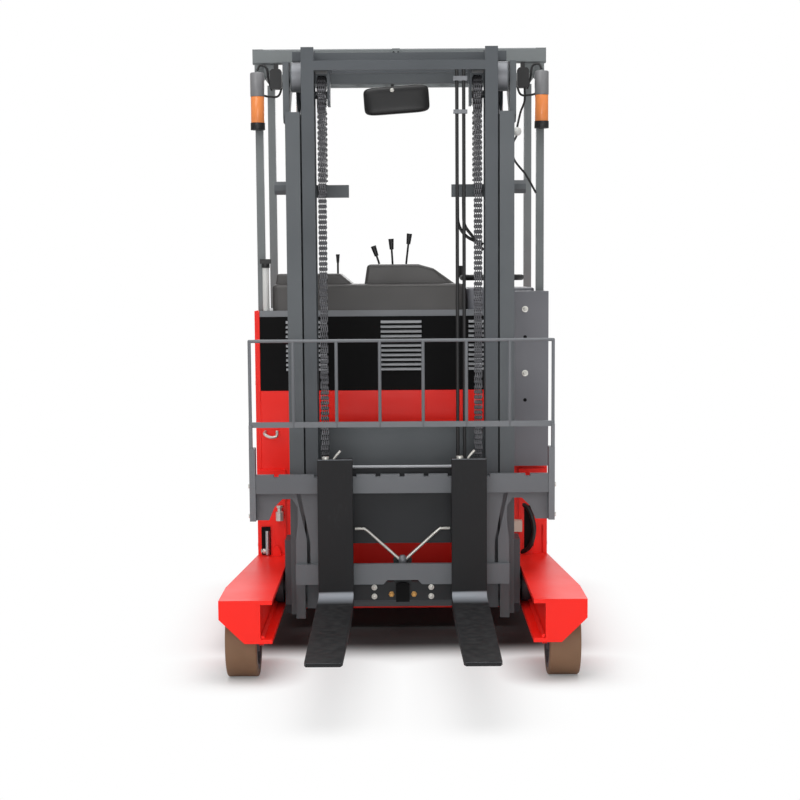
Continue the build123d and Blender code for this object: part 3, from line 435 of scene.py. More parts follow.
CHAIN_STEEL = Finish("chain_steel", (52, 52, 54), (34, 34, 36), 0.38, metal=0.75, cloud_scale=30, dust=0.0)
HOSE_RUBBER = Finish("hose_rubber", (22, 22, 23), (32, 32, 33), 0.5, dust=0.05, grain=1200)
CONSOLE_PLASTIC = Finish("console_plastic", (72, 70, 69), (62, 60, 59), 0.42, cloud=0.3, dust=0.02,
                         ripple=220, grain=1400, grain_share=0.8, depth_mm=0.10)
BLACK_PLASTIC = Finish("black_plastic", (20, 20, 21), (30, 30, 31), 0.42, cloud=0.3, grain=1400,
                       depth_mm=0.06)
WHITE_PLASTIC = Finish("white_plastic", (214, 215, 212), (196, 197, 194), 0.35, cloud=0.3, dust=0.05)
AMBER_LENS = Finish("amber_lens", (230, 138, 76), (214, 116, 56), 0.25, cloud=0.35, cloud_scale=20,
                    dust=0.0, glow=0.12, grain=300, depth_mm=0.2)
PAD_VINYL = Finish("pad_vinyl", (34, 34, 36), (44, 44, 46), 0.55, ripple=160, grain=700, grain_share=0.6,
                   depth_mm=0.35)
RUBBER_MAT = Finish("rubber_mat", (34, 34, 34), (46, 45, 44), 0.8, dust=0.12, depth_mm=0.3)
BATTERY_CASE = Finish("battery_case", (60, 62, 66), (48, 50, 54), 0.5)
MIRROR_GLASS = Finish("mirror_glass", (190, 195, 200), (180, 185, 190), 0.03, metal=1.0, dust=0.0,
                      depth_mm=0.0)
LINK_STEEL = Finish("link_steel", (72, 72, 75), (52, 52, 55), 0.3, metal=0.7, cloud_scale=40, dust=0.0)
PIN_STEEL = Finish("pin_steel", (34, 34, 36), (24, 24, 26), 0.4, metal=0.6, cloud_scale=40, dust=0.0)
ZINC = Finish("zinc", (206, 204, 198), (176, 174, 168), 0.32, metal=0.6, cloud_scale=50, dust=0.0)
# Painted highlight: the lit lips of the black panel's pressed louvres.
LOUVRE_HIGHLIGHT = Finish("louvre_highlight", (150, 152, 155), (132, 134, 138), 0.4, cloud=0.4, dust=0.0)
BRASS = Finish("brass", (186, 142, 84), (150, 108, 60), 0.35, metal=0.8, cloud_scale=40, dust=0.0)
CAST_LIGHT = Finish("cast_light", (122, 124, 128), (96, 98, 102), 0.45, metal=0.4, cloud_scale=30, dust=0.0)
TUBE_GREY = Finish("tube_grey", (168, 170, 174), (150, 152, 156), 0.35, dust=0.0)
LAMP_GREY = Finish("lamp_grey", (128, 128, 130), (108, 108, 110), 0.3, cloud=0.4, dust=0.0)
CREAM = Finish("cream_block", (214, 200, 184), (196, 182, 166), 0.5, cloud=0.3)

NODE_FINISH: dict[Finish, tuple[str, ...]] = {
    RED_PAINT: ("leg_left", "leg_right", "chassis_frame", "front_panel", "side_panel_left",
                "side_panel_right"),
    MAST_PAINT: ("outer_mast", "lift_cylinders", "reach_cylinder"),
    GUARD_PAINT: ("overhead_guard",),
    RAIL_PAINT: ("load_backrest",),
    REACH_PAINT: ("reach_carriage",),
    INNER_PAINT: ("inner_mast",),
    PLATE_PAINT: ("lift_carriage",),
    CARRIAGE_PAINT: ("fork_carriage",),
    BLACK_PAINT_AND_SHADE: ("louvre_panel",),
    TRIM_PAINT: ("top_strip",),
    BOX_PAINT: ("side_box", "steering_table"),
    FORK_STEEL: ("fork_left", "fork_right"),
    BRIGHT_STEEL: ("chain_sheaves", "tilt_pipes"),
    CHROME_ROD: ("reach_rod", "lift_rods", "tilt_ram"),
    CAST_GREY: ("drive_motor", "drive_gearcase", "drive_hub", "caster_swivel", "load_hub_left",
                "load_hub_right"),
    POLYURETHANE: ("load_tyre_left", "load_tyre_right", "caster_wheels"),
    DRIVE_RUBBER: ("drive_tyre",),
    CHAIN_STEEL: ("front_chains", "rear_chains"),
    HOSE_RUBBER: ("mast_hoses",),
    CONSOLE_PLASTIC: ("console", "rear_hood"),
    BLACK_PLASTIC: ("control_levers", "filler_cap", "steering_wheel", "foot_pedal", "rear_mirror",
                    "lamp_bases", "work_lamps"),
    WHITE_PLASTIC: ("filler_pipe",),
    AMBER_LENS: ("indicator_lamps",),
    PAD_VINYL: ("back_pad",),
    RUBBER_MAT: ("operator_floor",),
    BATTERY_CASE: ("battery",),
}


@dataclass
class Frame:
    """The CAD nodes that stay in view, each with its finish and softened edges."""

    edge_mm: float = 1.6
    thin_edge_mm: float = 0.7
    sharp_deg: float = 42
    join_m: float = 0.00002
    thin: tuple[str, ...] = ("louvre_panel", "control_levers", "filler_cap", "tilt_pipes", "load_backrest")
    plain: tuple[str, ...] = ("steering_wheel", "rear_mirror", "foot_pedal", "back_pad", "mast_hoses",
                              "rear_hood")

    def dress(self) -> None:
        """Give each node its material, and each hard one a small bevel on its sharp edges."""
        for finish, names in NODE_FINISH.items():
            for name in names:
                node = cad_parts[name]
                if not node.material_slots:
                    node.data.materials.append(None)
                for place in node.material_slots:
                    place.material = finish.material()
                if name not in self.plain:
                    self.soften(node, self.thin_edge_mm if name in self.thin else self.edge_mm)
                LOG.info("dressed %s in %s", name, finish.name)

    @staticmethod
    def soften(node: bpy.types.Object, width_mm: float) -> None:
        """Join the node's loose triangles and bevel its sharp edges, by modifiers alone.

        Args:
            node: The CAD node's object.
            width_mm: Width of the bevel.
        """
        weld = node.modifiers.new("join", "WELD")
        weld.merge_threshold = Frame.join_m
        bevel = node.modifiers.new("edge", "BEVEL")
        bevel.width = width_mm * MM
        bevel.segments = 2
        bevel.limit_method = "ANGLE"
        bevel.angle_limit = math.radians(Frame.sharp_deg)
        bevel.harden_normals = True


class Shapes:
    """Surfaces worked out as whole arrays: points, and four-cornered faces that index them."""

    @staticmethod
    def fuller(wave: np.ndarray, power: float) -> np.ndarray:
        """Raise a wave to a low power and keep its sign, which squares its round.

        Args:
            wave: Sines or cosines.
            power: The power, below 1.

        Returns:
            The fuller wave.
        """
        return np.sign(wave) * np.abs(wave) ** power

    @staticmethod
    def grid(points: np.ndarray, wrap_u: bool, wrap_v: bool) -> Patch:
        """Faces of a grid: corner (i, j) joins (i + 1, j), (i + 1, j + 1) and (i, j + 1).

        Args:
            points: Array of rows by columns by 3.
            wrap_u: Whether the last row meets the first.
            wrap_v: Whether the last column meets the first.

        Returns:
            Points and faces.
        """
        rows, cols = points.shape[:2]
        last_row, last_col = rows - (not wrap_u), cols - (not wrap_v)
        i, j = np.meshgrid(np.arange(last_row), np.arange(last_col), indexing="ij")
        k, m = (i + 1) % rows, (j + 1) % cols
        faces = np.stack([i * cols + j, k * cols + j, k * cols + m, i * cols + m], -1).reshape(-1, 4)
        return points.reshape(-1, 3), faces

    @staticmethod
    def turned(profile: list[tuple[float, float]], centre: Point, axis: Axis, sides: int) -> Patch:
        """A turned form: each (radius r, height) of the profile goes round the axis at r cos a, r sin a.

        Args:
            profile: Rows of radius and height in mm, from one pole to the other.
            centre: Where height 0 is, in mm.
            axis: The direction of the heights.
            sides: Faces round the form.

        Returns:
            Points and faces.
        """
        shape = np.array(profile, float)
        angle = np.arange(sides) * 2 * math.pi / sides + math.pi / sides
        points = np.zeros((len(shape), sides, 3))
        first, second = [(1, 2), (2, 0), (0, 1)][axis.value]
        points[..., first] = shape[:, :1] * np.cos(angle)
        points[..., second] = shape[:, :1] * np.sin(angle)
        points[..., axis.value] = shape[:, 1:]
        return Shapes.grid((points + np.array(centre)) * MM, False, True)

    @staticmethod
    def ruled(outline: list[tuple[float, float]], axis: Axis, low: float, high: float) -> Patch:
        """A straight bar: a closed outline carried along one direction, its ends drawn in to their middles.

        Args:
            outline: Points in the two other directions, in mm, in the frame's order.
            axis: The direction of travel.
            low: Start in mm.
            high: End in mm.

        Returns:
            Points and faces.
        """
        flat = np.array(outline, float)
        middle = flat.mean(0)
        rings = np.stack([np.tile(middle, (len(flat), 1)), flat, flat, np.tile(middle, (len(flat), 1))])
        points = np.zeros((4, len(flat), 3))
        others = [a for a in range(3) if a != axis.value]
        points[..., others[0]] = rings[..., 0]
        points[..., others[1]] = rings[..., 1]
        points[..., axis.value] = np.array([low, low, high, high])[:, None]
        return Shapes.grid(points * MM, False, True)

    @staticmethod
    def tube(route: np.ndarray, radius: float, sides: int) -> Patch:
        """A round tube: a circle stands square to the route's tangent at each of its points.

        Args:
            route: Points by 3, in mm.
            radius: Radius in mm.
            sides: Faces round the tube.

        Returns:
            Points and faces.
        """
        along = np.gradient(route, axis=0)
        along /= np.linalg.norm(along, axis=1, keepdims=True)
        leans_to_y = abs(along[:, 1]).max() >= 0.9
        guide = np.array([0.95, 0.05, 0.31] if leans_to_y else [0.31, 0.95, 0.05])
        side = np.cross(along, guide)
        side /= np.linalg.norm(side, axis=1, keepdims=True)
        other = np.cross(along, side)
        angle = np.arange(sides) * 2 * math.pi / sides
        across, upward = np.cos(angle)[None, :, None], np.sin(angle)[None, :, None]
        ring = side[:, None] * across + other[:, None] * upward
        ends = np.stack([route[0] + ring[0] * 1e-4, route[-1] + ring[-1] * 1e-4])
        wall = route[:, None] + ring * radius
        return Shapes.grid(np.concatenate([ends[:1], wall, ends[1:]]) * MM, False, True)

    @staticmethod
    def arc(points: list[Point], steps: int) -> np.ndarray:
        """A smooth route through a few points: Catmull-Rom, a cubic between each two.

        Args:
            points: Corners of the route in mm.
            steps: Steps between two corners.

        Returns:
            The route's points in mm.
        """
        given = np.array(points, float)
        ends = np.concatenate([2 * given[:1] - given[1:2], given, 2 * given[-1:] - given[-2:-1]])
        t = np.linspace(0, 1, steps, endpoint=False)[None, :, None]
        a, b, c, d = (ends[k:len(ends) - 3 + k][:, None] for k in range(4))
        square, cube = 2 * a - 5 * b + 4 * c - d, 3 * b - a - 3 * c + d
        run = 0.5 * (2 * b + (c - a) * t + square * t ** 2 + cube * t ** 3)
        return np.concatenate([run.reshape(-1, 3), given[-1:]])

    @staticmethod
    def puffed(centre: Point, half: Point, tilt_deg: float = 0.0) -> Patch:
        """A rounded block with bulging faces: a superellipsoid whose low powers keep its corners full.

        Args:
            centre: Its middle in mm.
            half: Half its sizes in mm; the least one is the direction in which it bulges.
            tilt_deg: Its turn about Y.

        Returns:
            Points and faces.
        """
        flat = half.index(min(half))
        wide = [a for a in range(3) if a != flat]
        rows, cols = 40, 96
        u = np.linspace(-math.pi / 2, math.pi / 2, rows)[:, None]
        v = np.arange(cols)[None, :] * 2 * math.pi / cols
        rim = np.abs(np.cos(u)) ** 0.35
        local = np.zeros((rows, cols, 3))
        local[..., flat] = Shapes.fuller(np.sin(u), 0.7) * half[flat] + 0 * v
        local[..., wide[0]] = rim * Shapes.fuller(np.cos(v), 0.3) * half[wide[0]]
        local[..., wide[1]] = rim * Shapes.fuller(np.sin(v), 0.3) * half[wide[1]]
        c, k = math.cos(math.radians(tilt_deg)), math.sin(math.radians(tilt_deg))
        x, z = local[..., 0] * c - local[..., 2] * k, local[..., 0] * k + local[..., 2] * c
        points = np.stack([x, local[..., 1], z], -1)
        return Shapes.grid((points + np.array(centre)) * MM, False, True)

    @staticmethod
    def bolt(centre: Point, axis: Axis, sign: int, size: float) -> list[Patch]:
        """A hexagon head with a crowned top on a round washer.

        Args:
            centre: Where the washer lies on its seat, in mm.
            axis: The bolt's direction.
            sign: 1 or -1, the way the head points.
            size: Half the width over the head's corners, in mm.

        Returns:
            Head and washer.
        """
        tall = size * 0.72
        head = [(0, 0), (size, 0), (size, sign * tall * 0.86), (size * 0.82, sign * tall),
                (0, sign * tall * 1.02)]
        washer = [(0, -sign * 0.5), (size * 1.32, -sign * 0.5), (size * 1.36, sign * 0.8),
                  (size * 1.25, sign * 1.6), (0, sign * 1.6)]
        return [Shapes.turned(head, centre, axis, 6), Shapes.turned(washer, centre, axis, 20)]


class Bench:
    """Turns patches into finished pieces that ride on the truck."""

    double_m = 2e-6
    sliver_m = 1e-7

    @staticmethod
    def make(name: str, patches: list[Patch], finish: Finish, body: str = "",
             smooth_deg: float = 35.0) -> bpy.types.Object:
        """Join patches into one mesh, merge its doubles, dress it and let it ride.

        Args:
            name: The piece's name.
            patches: Points and faces of its forms, in metres.
            finish: Its finish.
            body: The CAD body that carries it, or nothing to leave it unattached.
            smooth_deg: Edges flatter than this are smooth.

        Returns:
            The piece.
        """
        starts = np.cumsum([0] + [len(points) for points, _ in patches])
        points = np.concatenate([points for points, _ in patches])
        faces = np.concatenate([faces + start for (_, faces), start in zip(patches, starts)])
        mesh = bpy.data.meshes.new(name)
        mesh.from_pydata(points.tolist(), [], faces.tolist())
        mesh.validate()
        shape = bmesh.new()
        shape.from_mesh(mesh)
        bmesh.ops.remove_doubles(shape, verts=shape.verts, dist=Bench.double_m)
        bmesh.ops.dissolve_degenerate(shape, edges=shape.edges, dist=Bench.sliver_m)
        bmesh.ops.recalc_face_normals(shape, faces=shape.faces)
        for edge in shape.edges:
            edge.smooth = edge.is_manifold and edge.calc_face_angle(0.0) < math.radians(smooth_deg)
        shape.to_mesh(mesh)
        shape.free()
        mesh.polygons.foreach_set("use_smooth", np.ones(len(mesh.polygons), bool))
        mesh.materials.append(finish.material())
        piece = bpy.data.objects.new(name, mesh)
        bpy.context.scene.collection.objects.link(piece)
        if body:
            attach(piece, body)
        LOG.info("made %s, %d faces", name, len(mesh.polygons))
        return piece


@dataclass
class LeafChains:
    """Leaf chains of plates on pins: up from the carriage, over the sheave and down to the outer stage."""

    pitch: float = 19.05
    inner_x: float = 271.0
    outer_x: float = 300.0
    low_z: float = 665.0
    sheave_z: float = 2065.0
    anchor_z: float = 1742.0
    sheave_y: float = 10.0
    run_r: float = 62.0
    plate_half: float = 8.4
    plate_thick: float = 3.3
    layers: int = 8
    waist: float = 0.72
    pin_r: float = 3.4
    pin_head: float = 1.5
    first_pin: float = 2.0
    rear_gap: float = 4.0
    spare: float = 8.0

    def place(self, travel: np.ndarray) -> tuple[np.ndarray, np.ndarray, np.ndarray]:
        """Follow the chain's middle line: straight up, half a turn of radius run_r over the sheave, down.

        Args:
            travel: Distances from the carriage's anchor, in mm.

        Returns:
            Y, Z and the angle of travel from straight up, for each distance.
        """
        rise = self.sheave_z - self.low_z
        turn = np.clip((travel - rise) / self.run_r, 0, math.pi)
        fall = np.maximum(travel - rise - math.pi * self.run_r, 0)
        y = self.sheave_y - self.run_r * np.cos(turn)
        z = self.low_z + np.minimum(travel, rise) + self.run_r * np.sin(turn) - fall
        return y, z, turn

    def plates(self, start: float, count: int) -> list[Patch]:
        """Link plates: two round ends joined by a waist, in layers that swap places at every pin.

        Args:
            start: Distance of the first pin, in mm.
            count: Number of links.

        Returns:
            The plates on both sides of the mast.
        """
        half, waist = self.plate_half, self.plate_half * self.waist
        swing = np.radians([-65, -20, 20, 65])
        far = np.stack([self.pitch / 2 + half * np.cos(swing) * 0.9, half * np.sin(swing)], -1)
        outline = np.concatenate([far, [[0, waist]], -far, [[0, -waist]]])
        step = (self.outer_x - self.inner_x - self.plate_thick) / (self.layers - 1)
        links = np.arange(count)
        y, z, turn = self.place(start + (links + 0.5) * self.pitch)
        sine, cosine = np.sin(turn)[:, None], np.cos(turn)[:, None]
        flat_y = y[:, None] + outline[:, 0] * sine - outline[:, 1] * cosine
        flat_z = z[:, None] + outline[:, 0] * cosine + outline[:, 1] * sine
        made: list[Patch] = []
        for layer in range(self.layers):
            pick = links[(links + layer) % 2 == 0]
            x0 = self.inner_x + layer * step
            x1 = x0 + self.plate_thick * 0.94
            ring_x = np.array([x0, x0, x1, x1])
            for mirror in (1, -1):
                points = np.zeros((len(pick), 4, len(outline), 3))
                points[..., 0] = mirror * ring_x[None, :, None]
                middle_y, middle_z = flat_y[pick].mean(1), flat_z[pick].mean(1)
                for row, whole in ((0, False), (1, True), (2, True), (3, False)):
                    points[:, row, :, 1] = flat_y[pick] if whole else middle_y[:, None]
                    points[:, row, :, 2] = flat_z[pick] if whole else middle_z[:, None]
                base, faces = Shapes.grid(points[0] * MM, False, True)
                shift = np.arange(len(pick))[:, None, None] * len(base)
                made.append((points.reshape(-1, 3) * MM, (faces[None] + shift).reshape(-1, 4)))
        return made

    def pins(self, start: float, count: int) -> list[Patch]:
        """Riveted pins across the chain, one at each end of every link.

        Args:
            start: Distance of the first pin, in mm.
            count: Number of pins.

        Returns:
            The pins on both sides of the mast.
        """
        y, z, _ = self.place(start + np.arange(count) * self.pitch)
        made: list[Patch] = []
        near, far = -self.pin_head, self.outer_x - self.inner_x + self.pin_head
        profile = [(0, near), (self.pin_r, near), (self.pin_r, far), (0, far)]
        for mirror in (1, -1):
            low = self.inner_x if mirror == 1 else -self.outer_x
            base, faces = Shapes.turned(profile, (low, 0, 0), Axis.X, 8)
            points = base[None] + np.stack([np.zeros(count), y * MM, z * MM], -1)[:, None]
            shift = np.arange(count)[:, None, None] * len(base)
            made.append((points.reshape(-1, 3), (faces[None] + shift).reshape(-1, 4)))
        return made

    def build(self) -> None:
        """Make the front and rear chains in place of the CAD chains and bake their placement into their
        meshes.
        """
        over = self.sheave_z - self.low_z + math.pi * self.run_r
        front = int((over + self.spare) // self.pitch)
        rear = int((self.sheave_z - self.anchor_z) // self.pitch)
        rows = (("front", self.first_pin, front, "front_chains"),
                ("rear", over + self.rear_gap, rear, "rear_chains"))
        for name, start, count, node in rows:
            links = Bench.make(f"{name}_chain_links", self.plates(start, count), LINK_STEEL)
            pins = Bench.make(f"{name}_chain_pins", self.pins(start, count + 1), PIN_STEEL)
            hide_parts(node)
            for piece in (links, pins):
                if name == "front":
                    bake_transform(piece)
                else:
                    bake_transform(piece)


@dataclass
class Hardware:
    """Bolts, fittings, valves and small plates, by the body that carries them."""

    pipe_y: float = -121
    slot_rows: int = 11
    slot_pitch: float = 18.5
    low_slot_z: float = 1032
    slot_half: float = 80
    louvre_y: float = 350

    def bolts(self) -> None:
        """Set hexagon bolts on their seats, by rows of x, y, z and half width; these heads point forwards."""
        cross_plate = [(x, -112, z, 8) for x in (-106, 106) for z in (214, 248)]
        top_bar = [(x, -112, 668, 9) for x in (-236, 236)]
        table: dict[str, list[tuple[float, float, float, float]]] = {
            "chassis": [(-549, 338, 316, 11), (479, 228, 1271, 9), (479, 228, 1024, 9)],
            "carriage": cross_plate + top_bar,
        }
        for body, rows in table.items():
            made = [patch for x, y, z, size in rows for patch in Shapes.bolt((x, y, z), Axis.Y, -1, size)]
            Bench.make(f"{body}_bolts", made, ZINC, body)
        sides = [patch for way in (1, -1) for z in (530, 640)
                 for patch in Shapes.bolt((way * 558, -180, z), Axis.X, way, 8)]
        Bench.make("bracket_bolts", sides, ZINC, "fork_frame")

    def fittings(self) -> None:
        """Fittings of the tilt ram, fork latches, and the valve, rod, block and hook at the legs' roots."""
        nut = [(0, 0), (11, 0), (11, -14), (7, -15), (7, -26), (0, -26)]
        Bench.make("ram_fittings", [Shapes.turned(nut, (x, -100, 222), Axis.Y, 6) for x in (-42, 42)],
                   BRASS, "carriage")
        seat = [(0, 0), (13, 0), (13, 9), (6, 11)]
        for side, body in ((1, "fork_left"), (-1, "fork_right")):
            x = side * 244
            route = Shapes.arc([(x - 4, -221, 742), (x + 6, -221, 756), (x + 20, -220, 772)], 6)
            made = [Shapes.turned(seat, (x - 34, -221, 742), Axis.Z, 18), Shapes.tube(route, 4.5, 10)]
            Bench.make(f"{body}_latch", made, ZINC, body)
        valve = [(0, 0), (16, 0), (16, 34), (9, 38), (9, 50), (13, 52), (13, 60), (0, 62)]
        Bench.make("leg_valve", [Shapes.turned(valve, (-486, 322, 440), Axis.Z, 24)], ZINC, "chassis")
        rod = [(0, 0), (9, 0), (9, 96), (0, 97)]
        Bench.make("brake_rod", [Shapes.turned(rod, (-536, 330, 302), Axis.Z, 16)], BRIGHT_STEEL, "chassis")
        block = [(430, 392), (474, 392), (474, 436), (444, 436)]
        Bench.make("terminal_block", [Shapes.ruled(block, Axis.Y, 300, 349)], CREAM, "chassis")
        hook = Shapes.arc([(-540, 349, 792), (-540, 320, 784), (-516, 316, 772), (-494, 318, 776),
                           (-491, 320, 798)], 8)
        Bench.make("cable_hook", [Shapes.tube(hook, 6, 12)], ZINC, "chassis")

    def hoses(self) -> None:
        """Hose bends at the leg's root and on the mast, and the long lift hoses with their clips."""
        loop = Shapes.arc([(470, 349, 300), (505, 318, 330), (522, 312, 400), (505, 322, 470),
                           (478, 349, 500)], 10)
        Bench.make("root_hose", [Shapes.tube(loop, 9, 14)], HOSE_RUBBER, "chassis")
        bends = [Shapes.arc([(x, 103, 1736), (x, 104, 1650), (x + 4, 104, 1592), (x + 34, 104, 1548),
                             (312, 104, end_z)], 10) for x, end_z in ((216, 1518), (238, 1496))]
        Bench.make("mast_hose_bends", [Shapes.tube(bend, 6, 12) for bend in bends], HOSE_RUBBER, "mast")
        steps = 48
        runs = [np.stack([np.full(steps, x), np.full(steps, -54.0), np.linspace(670, 2147.5, steps)], -1)
                for x in (209.0, 234.0)]
        hoses = Bench.make("lift_hoses", [Shapes.tube(run, 6.5, 14) for run in runs], HOSE_RUBBER)
        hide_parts("mast_hoses")
        clamp = [(196, -64), (247, -64), (247, -44), (196, -44)]
        clips = Bench.make("hose_clips", [Shapes.ruled(clamp, Axis.Z, 1990, 2004)], CAST_LIGHT)
        for piece in (hoses, clips):
            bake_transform(piece)
        Bench.make("top_hose_clamp", [Shapes.ruled(clamp, Axis.Z, 2108, 2124)], CAST_LIGHT, "mast_inner")

    def louvres(self) -> None:
        """Edges of the louvres, coloured as a painted highlight: a drooping lip, curved in section, over each
        slot.
        """
        droop = np.linspace(0, math.pi / 2, 6)
        back = droop[::-1]
        outer = np.stack([self.louvre_y - 11.5 * np.sin(droop), 10.5 * np.cos(droop)], -1)
        inner = np.stack([self.louvre_y - 10.0 * np.sin(back), 8.6 * np.cos(back)], -1)
        lip = np.concatenate([outer, inner])
        bars: list[Patch] = []
        for centre in (-373, 0, 345):
            for row in range(self.slot_rows):
                outline = [(y, self.low_slot_z + row * self.slot_pitch + z) for y, z in lip]
                bars.append(Shapes.ruled(outline, Axis.X, centre - self.slot_half, centre + self.slot_half))
        Bench.make("louvre_lips", bars, LOUVRE_HIGHLIGHT, "chassis")

    def rollers(self) -> None:
        """Bright running bands of the mast's top guide rollers."""
        band = [(0, -0.15), (50, -0.15), (53.85, 4), (53.85, 48), (50, 52.15), (0, 52.15)]
        made = [Shapes.turned(band, (low_x, 10, 2130), Axis.X, 48) for low_x in (346, -398)]
        Bench.make("guide_roller_bands", made, CAST_LIGHT, "mast")

    def lift_front(self) -> None:
        """Bent supply pipes of the tilt ram with their ball fitting, a stiffening tube and a valve block."""
        route = [(176, 471), (150, 471), (134, 466), (78, 416), (10, 354)]
        for side, word in ((1, "left"), (-1, "right")):
            bend = Shapes.arc([(side * x, self.pipe_y, z) for x, z in route], 6)
            pipe = Bench.make(f"ram_pipe_{word}", [Shapes.tube(bend, 5.5, 14)], ZINC, "carriage")
            if word == "left":
                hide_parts("tilt_pipes")
        ball = [(0, -20), (9, -19), (14, -12), (16, 0), (14, 12), (9, 19), (0, 20)]
        Bench.make("ram_pipe_joint", [Shapes.turned(ball, (0, self.pipe_y, 352), Axis.Z, 24)], CAST_LIGHT,
                   "carriage")
        tube = np.stack([np.linspace(-206, 206, 12), np.full(12, -118.0), np.full(12, 702.0)], -1)
        Bench.make("stiffening_tube", [Shapes.tube(tube, 5.5, 14)], TUBE_GREY, "carriage")
        block = [(-25, 196), (25, 196), (25, 262), (12, 268), (-12, 268), (-25, 262)]
        Bench.make("ram_valve_block", [Shapes.ruled(block, Axis.Y, -129, -111)], BLACK_PAINT_AND_SHADE, "carriage")

    def leg_roots(self) -> None:
        """Black sheets of painted shade in the pockets where the legs meet the body, a raised tab on one leg,
        and ledges in the channels.
        """
        # Painted shade: thin black sheets stand for the shaded pockets at the legs' roots.
        pocket = [(-560, 301), (-524, 301), (-524, 413), (-560, 413)]
        recess = [(484, 318), (522, 330), (524, 470), (512, 492), (484, 492)]
        shade_sheets = [Shapes.ruled(pocket, Axis.Y, 331, 334), Shapes.ruled(recess, Axis.Y, 337.2, 339.0)]
        Bench.make("root_pocket_shade", shade_sheets, BLACK_PAINT_AND_SHADE, "chassis")
        tab = [(-516, 299), (-484, 299), (-484, 322), (-492, 336), (-504, 338), (-512, 324)]
        Bench.make("leg_tab", [Shapes.ruled(tab, Axis.Y, 318, 326)], RED_PAINT, "chassis")
        ledge = [(478, 163), (489, 163), (489, 176), (478, 170)]
        left = Shapes.ruled(ledge, Axis.Y, -618, 340)
        right = (left[0] * np.array([-1.0, 1.0, 1.0]), left[1])
        Bench.make("channel_ledges", [left, right], RED_PAINT, "chassis")

    def guard_top(self) -> None:
        """Lamp caps, the tab on the guard's beam, painted shade in drilled holes, a ball lamp and the lamps'
        cables.
        """
        cap = [(0, 0), (26.8, 0), (27.4, 3), (27.4, 86), (25, 90), (0, 90)]
        caps = [Shapes.turned(cap, (x, 356, 2096), Axis.Z, 36) for x in (-551, 551)]
        Bench.make("lamp_caps", caps, LAMP_GREY, "chassis")
        tab = [(-32, 2246), (6, 2246), (6, 2273), (1, 2278), (-27, 2278), (-32, 2273)]
        Bench.make("guard_tab", [Shapes.ruled(tab, Axis.Y, 374, 380.4)], GUARD_PAINT, "chassis")
        # Painted shade: thin black discs stand for the inside of drilled holes.
        places = [(4.6, (x, 374, 2262), 16) for x in (-22, -4)]
        places += [(7, (479, 228, z), 18) for z in (1164, 920)]
        dots = [Shapes.turned([(0, 0), (radius, 0), (radius, -0.9), (0, -0.9)], place, Axis.Y, sides)
                for radius, place, sides in places]
        Bench.make("hole_shade_discs", dots, BLACK_PAINT_AND_SHADE, "chassis")
        ball = [(0, -17), (8, -15.5), (14, -10), (17, 0), (14, 10), (8, 15.5), (0, 17)]
        Bench.make("ball_lamp", [Shapes.turned(ball, (457, 366, 1957), Axis.Z, 28)], WHITE_PLASTIC,
                   "chassis")
        cords = [Shapes.arc([(457, 368, 1974), (470, 370, 2030), (486, 372, 2075), (486, 372, 2128)], 8),
                 Shapes.arc([(455, 366, 1941), (440, 372, 1905), (446, 376, 1850), (492, 376, 1790),
                             (532, 378, 1720)], 8)]
        routes = [[(528, 360, 2100), (505, 366, 2096), (470, 372, 2100), (452, 376, 2150)],
                  [(551, 366, 2196), (540, 372, 2216), (516, 374, 2206), (508, 374, 2160),
                   (496, 372, 2120)]]
        cords += [Shapes.arc([(side * x, y, z) for x, y, z in route], 8) for route in routes
                  for side in (1, -1)]
        Bench.make("lamp_cables", [Shapes.tube(cord, 4.2, 10) for cord in cords], HOSE_RUBBER, "chassis")

    def chassis_sides(self) -> None:
        """Bolts of the side panels and of the hood's rear face."""
        rows = [(y, z) for y in (410, 640, 860) for z in (330, 980)]
        heads = [patch for side in (1, -1) for y, z in rows
                 for patch in Shapes.bolt((side * 576, y, z), Axis.X, side, 8)]
        Bench.make("side_panel_bolts", heads, ZINC, "chassis")
        nuts = [patch for x in (-500, -130) for z in (360, 620)
                for patch in Shapes.bolt((x, 1325, z), Axis.Y, 1, 9)]
        Bench.make("rear_panel_bolts", nuts, ZINC, "chassis")

    def build(self) -> None:
        """Make every small piece."""
        self.lift_front()
        self.leg_roots()
        self.guard_top()
        self.chassis_sides()
        self.bolts()
        self.fittings()
        self.hoses()
        self.louvres()
        self.rollers()


@dataclass
class Wheels:
    """Caps and bolts of the load wheels and the drive wheel."""

    load_axle: Point = (618, -465, 133)
    load_bolt_x: float = 590
    load_circle: float = 70
    drive_axle: Point = (-360, 1080, 190)
    drive_circle: float = 88

    @staticmethod
    def ring(axle: Point, x: float, radius: float, sign: int, size: float) -> list[Patch]:
        """Six bolts on a circle round an axle: each at radius cos a ahead and radius sin a up.

        Args:
            axle: The circle's centre in mm.
            x: Where the bolts are seated.
            radius: The circle's radius in mm.
            sign: The way the heads point along X.
            size: Half the width over a head's corners.

        Returns:
            Heads and washers.
        """
        made: list[Patch] = []
        for a in np.arange(6) * math.pi / 3:
            seat = (x, axle[1] + radius * math.cos(a), axle[2] + radius * math.sin(a))
            made += Shapes.bolt(seat, Axis.X, sign, size)
        return made

    def build(self) -> None:
        """Make hub caps with their bolt circles."""
        x, y, z = self.load_axle
        for side, body in ((1, "load_wheel_left"), (-1, "load_wheel_right")):
            cap = [(0, side * 4), (18, side * 3.6), (30, side * 2), (36, 0), (38, -side * 3),
                   (0, -side * 4)]
            made = [Shapes.turned(cap, (side * x, y, z), Axis.X, 40)]
            made += self.ring(self.load_axle, side * self.load_bolt_x, self.load_circle, side, 8)
            Bench.make(f"{body}_cap", made, ZINC, body)
        studs = self.ring(self.drive_axle, self.drive_axle[0], self.drive_circle, -1, 12)
        Bench.make("drive_wheel_studs", studs, ZINC, "drive_wheel")


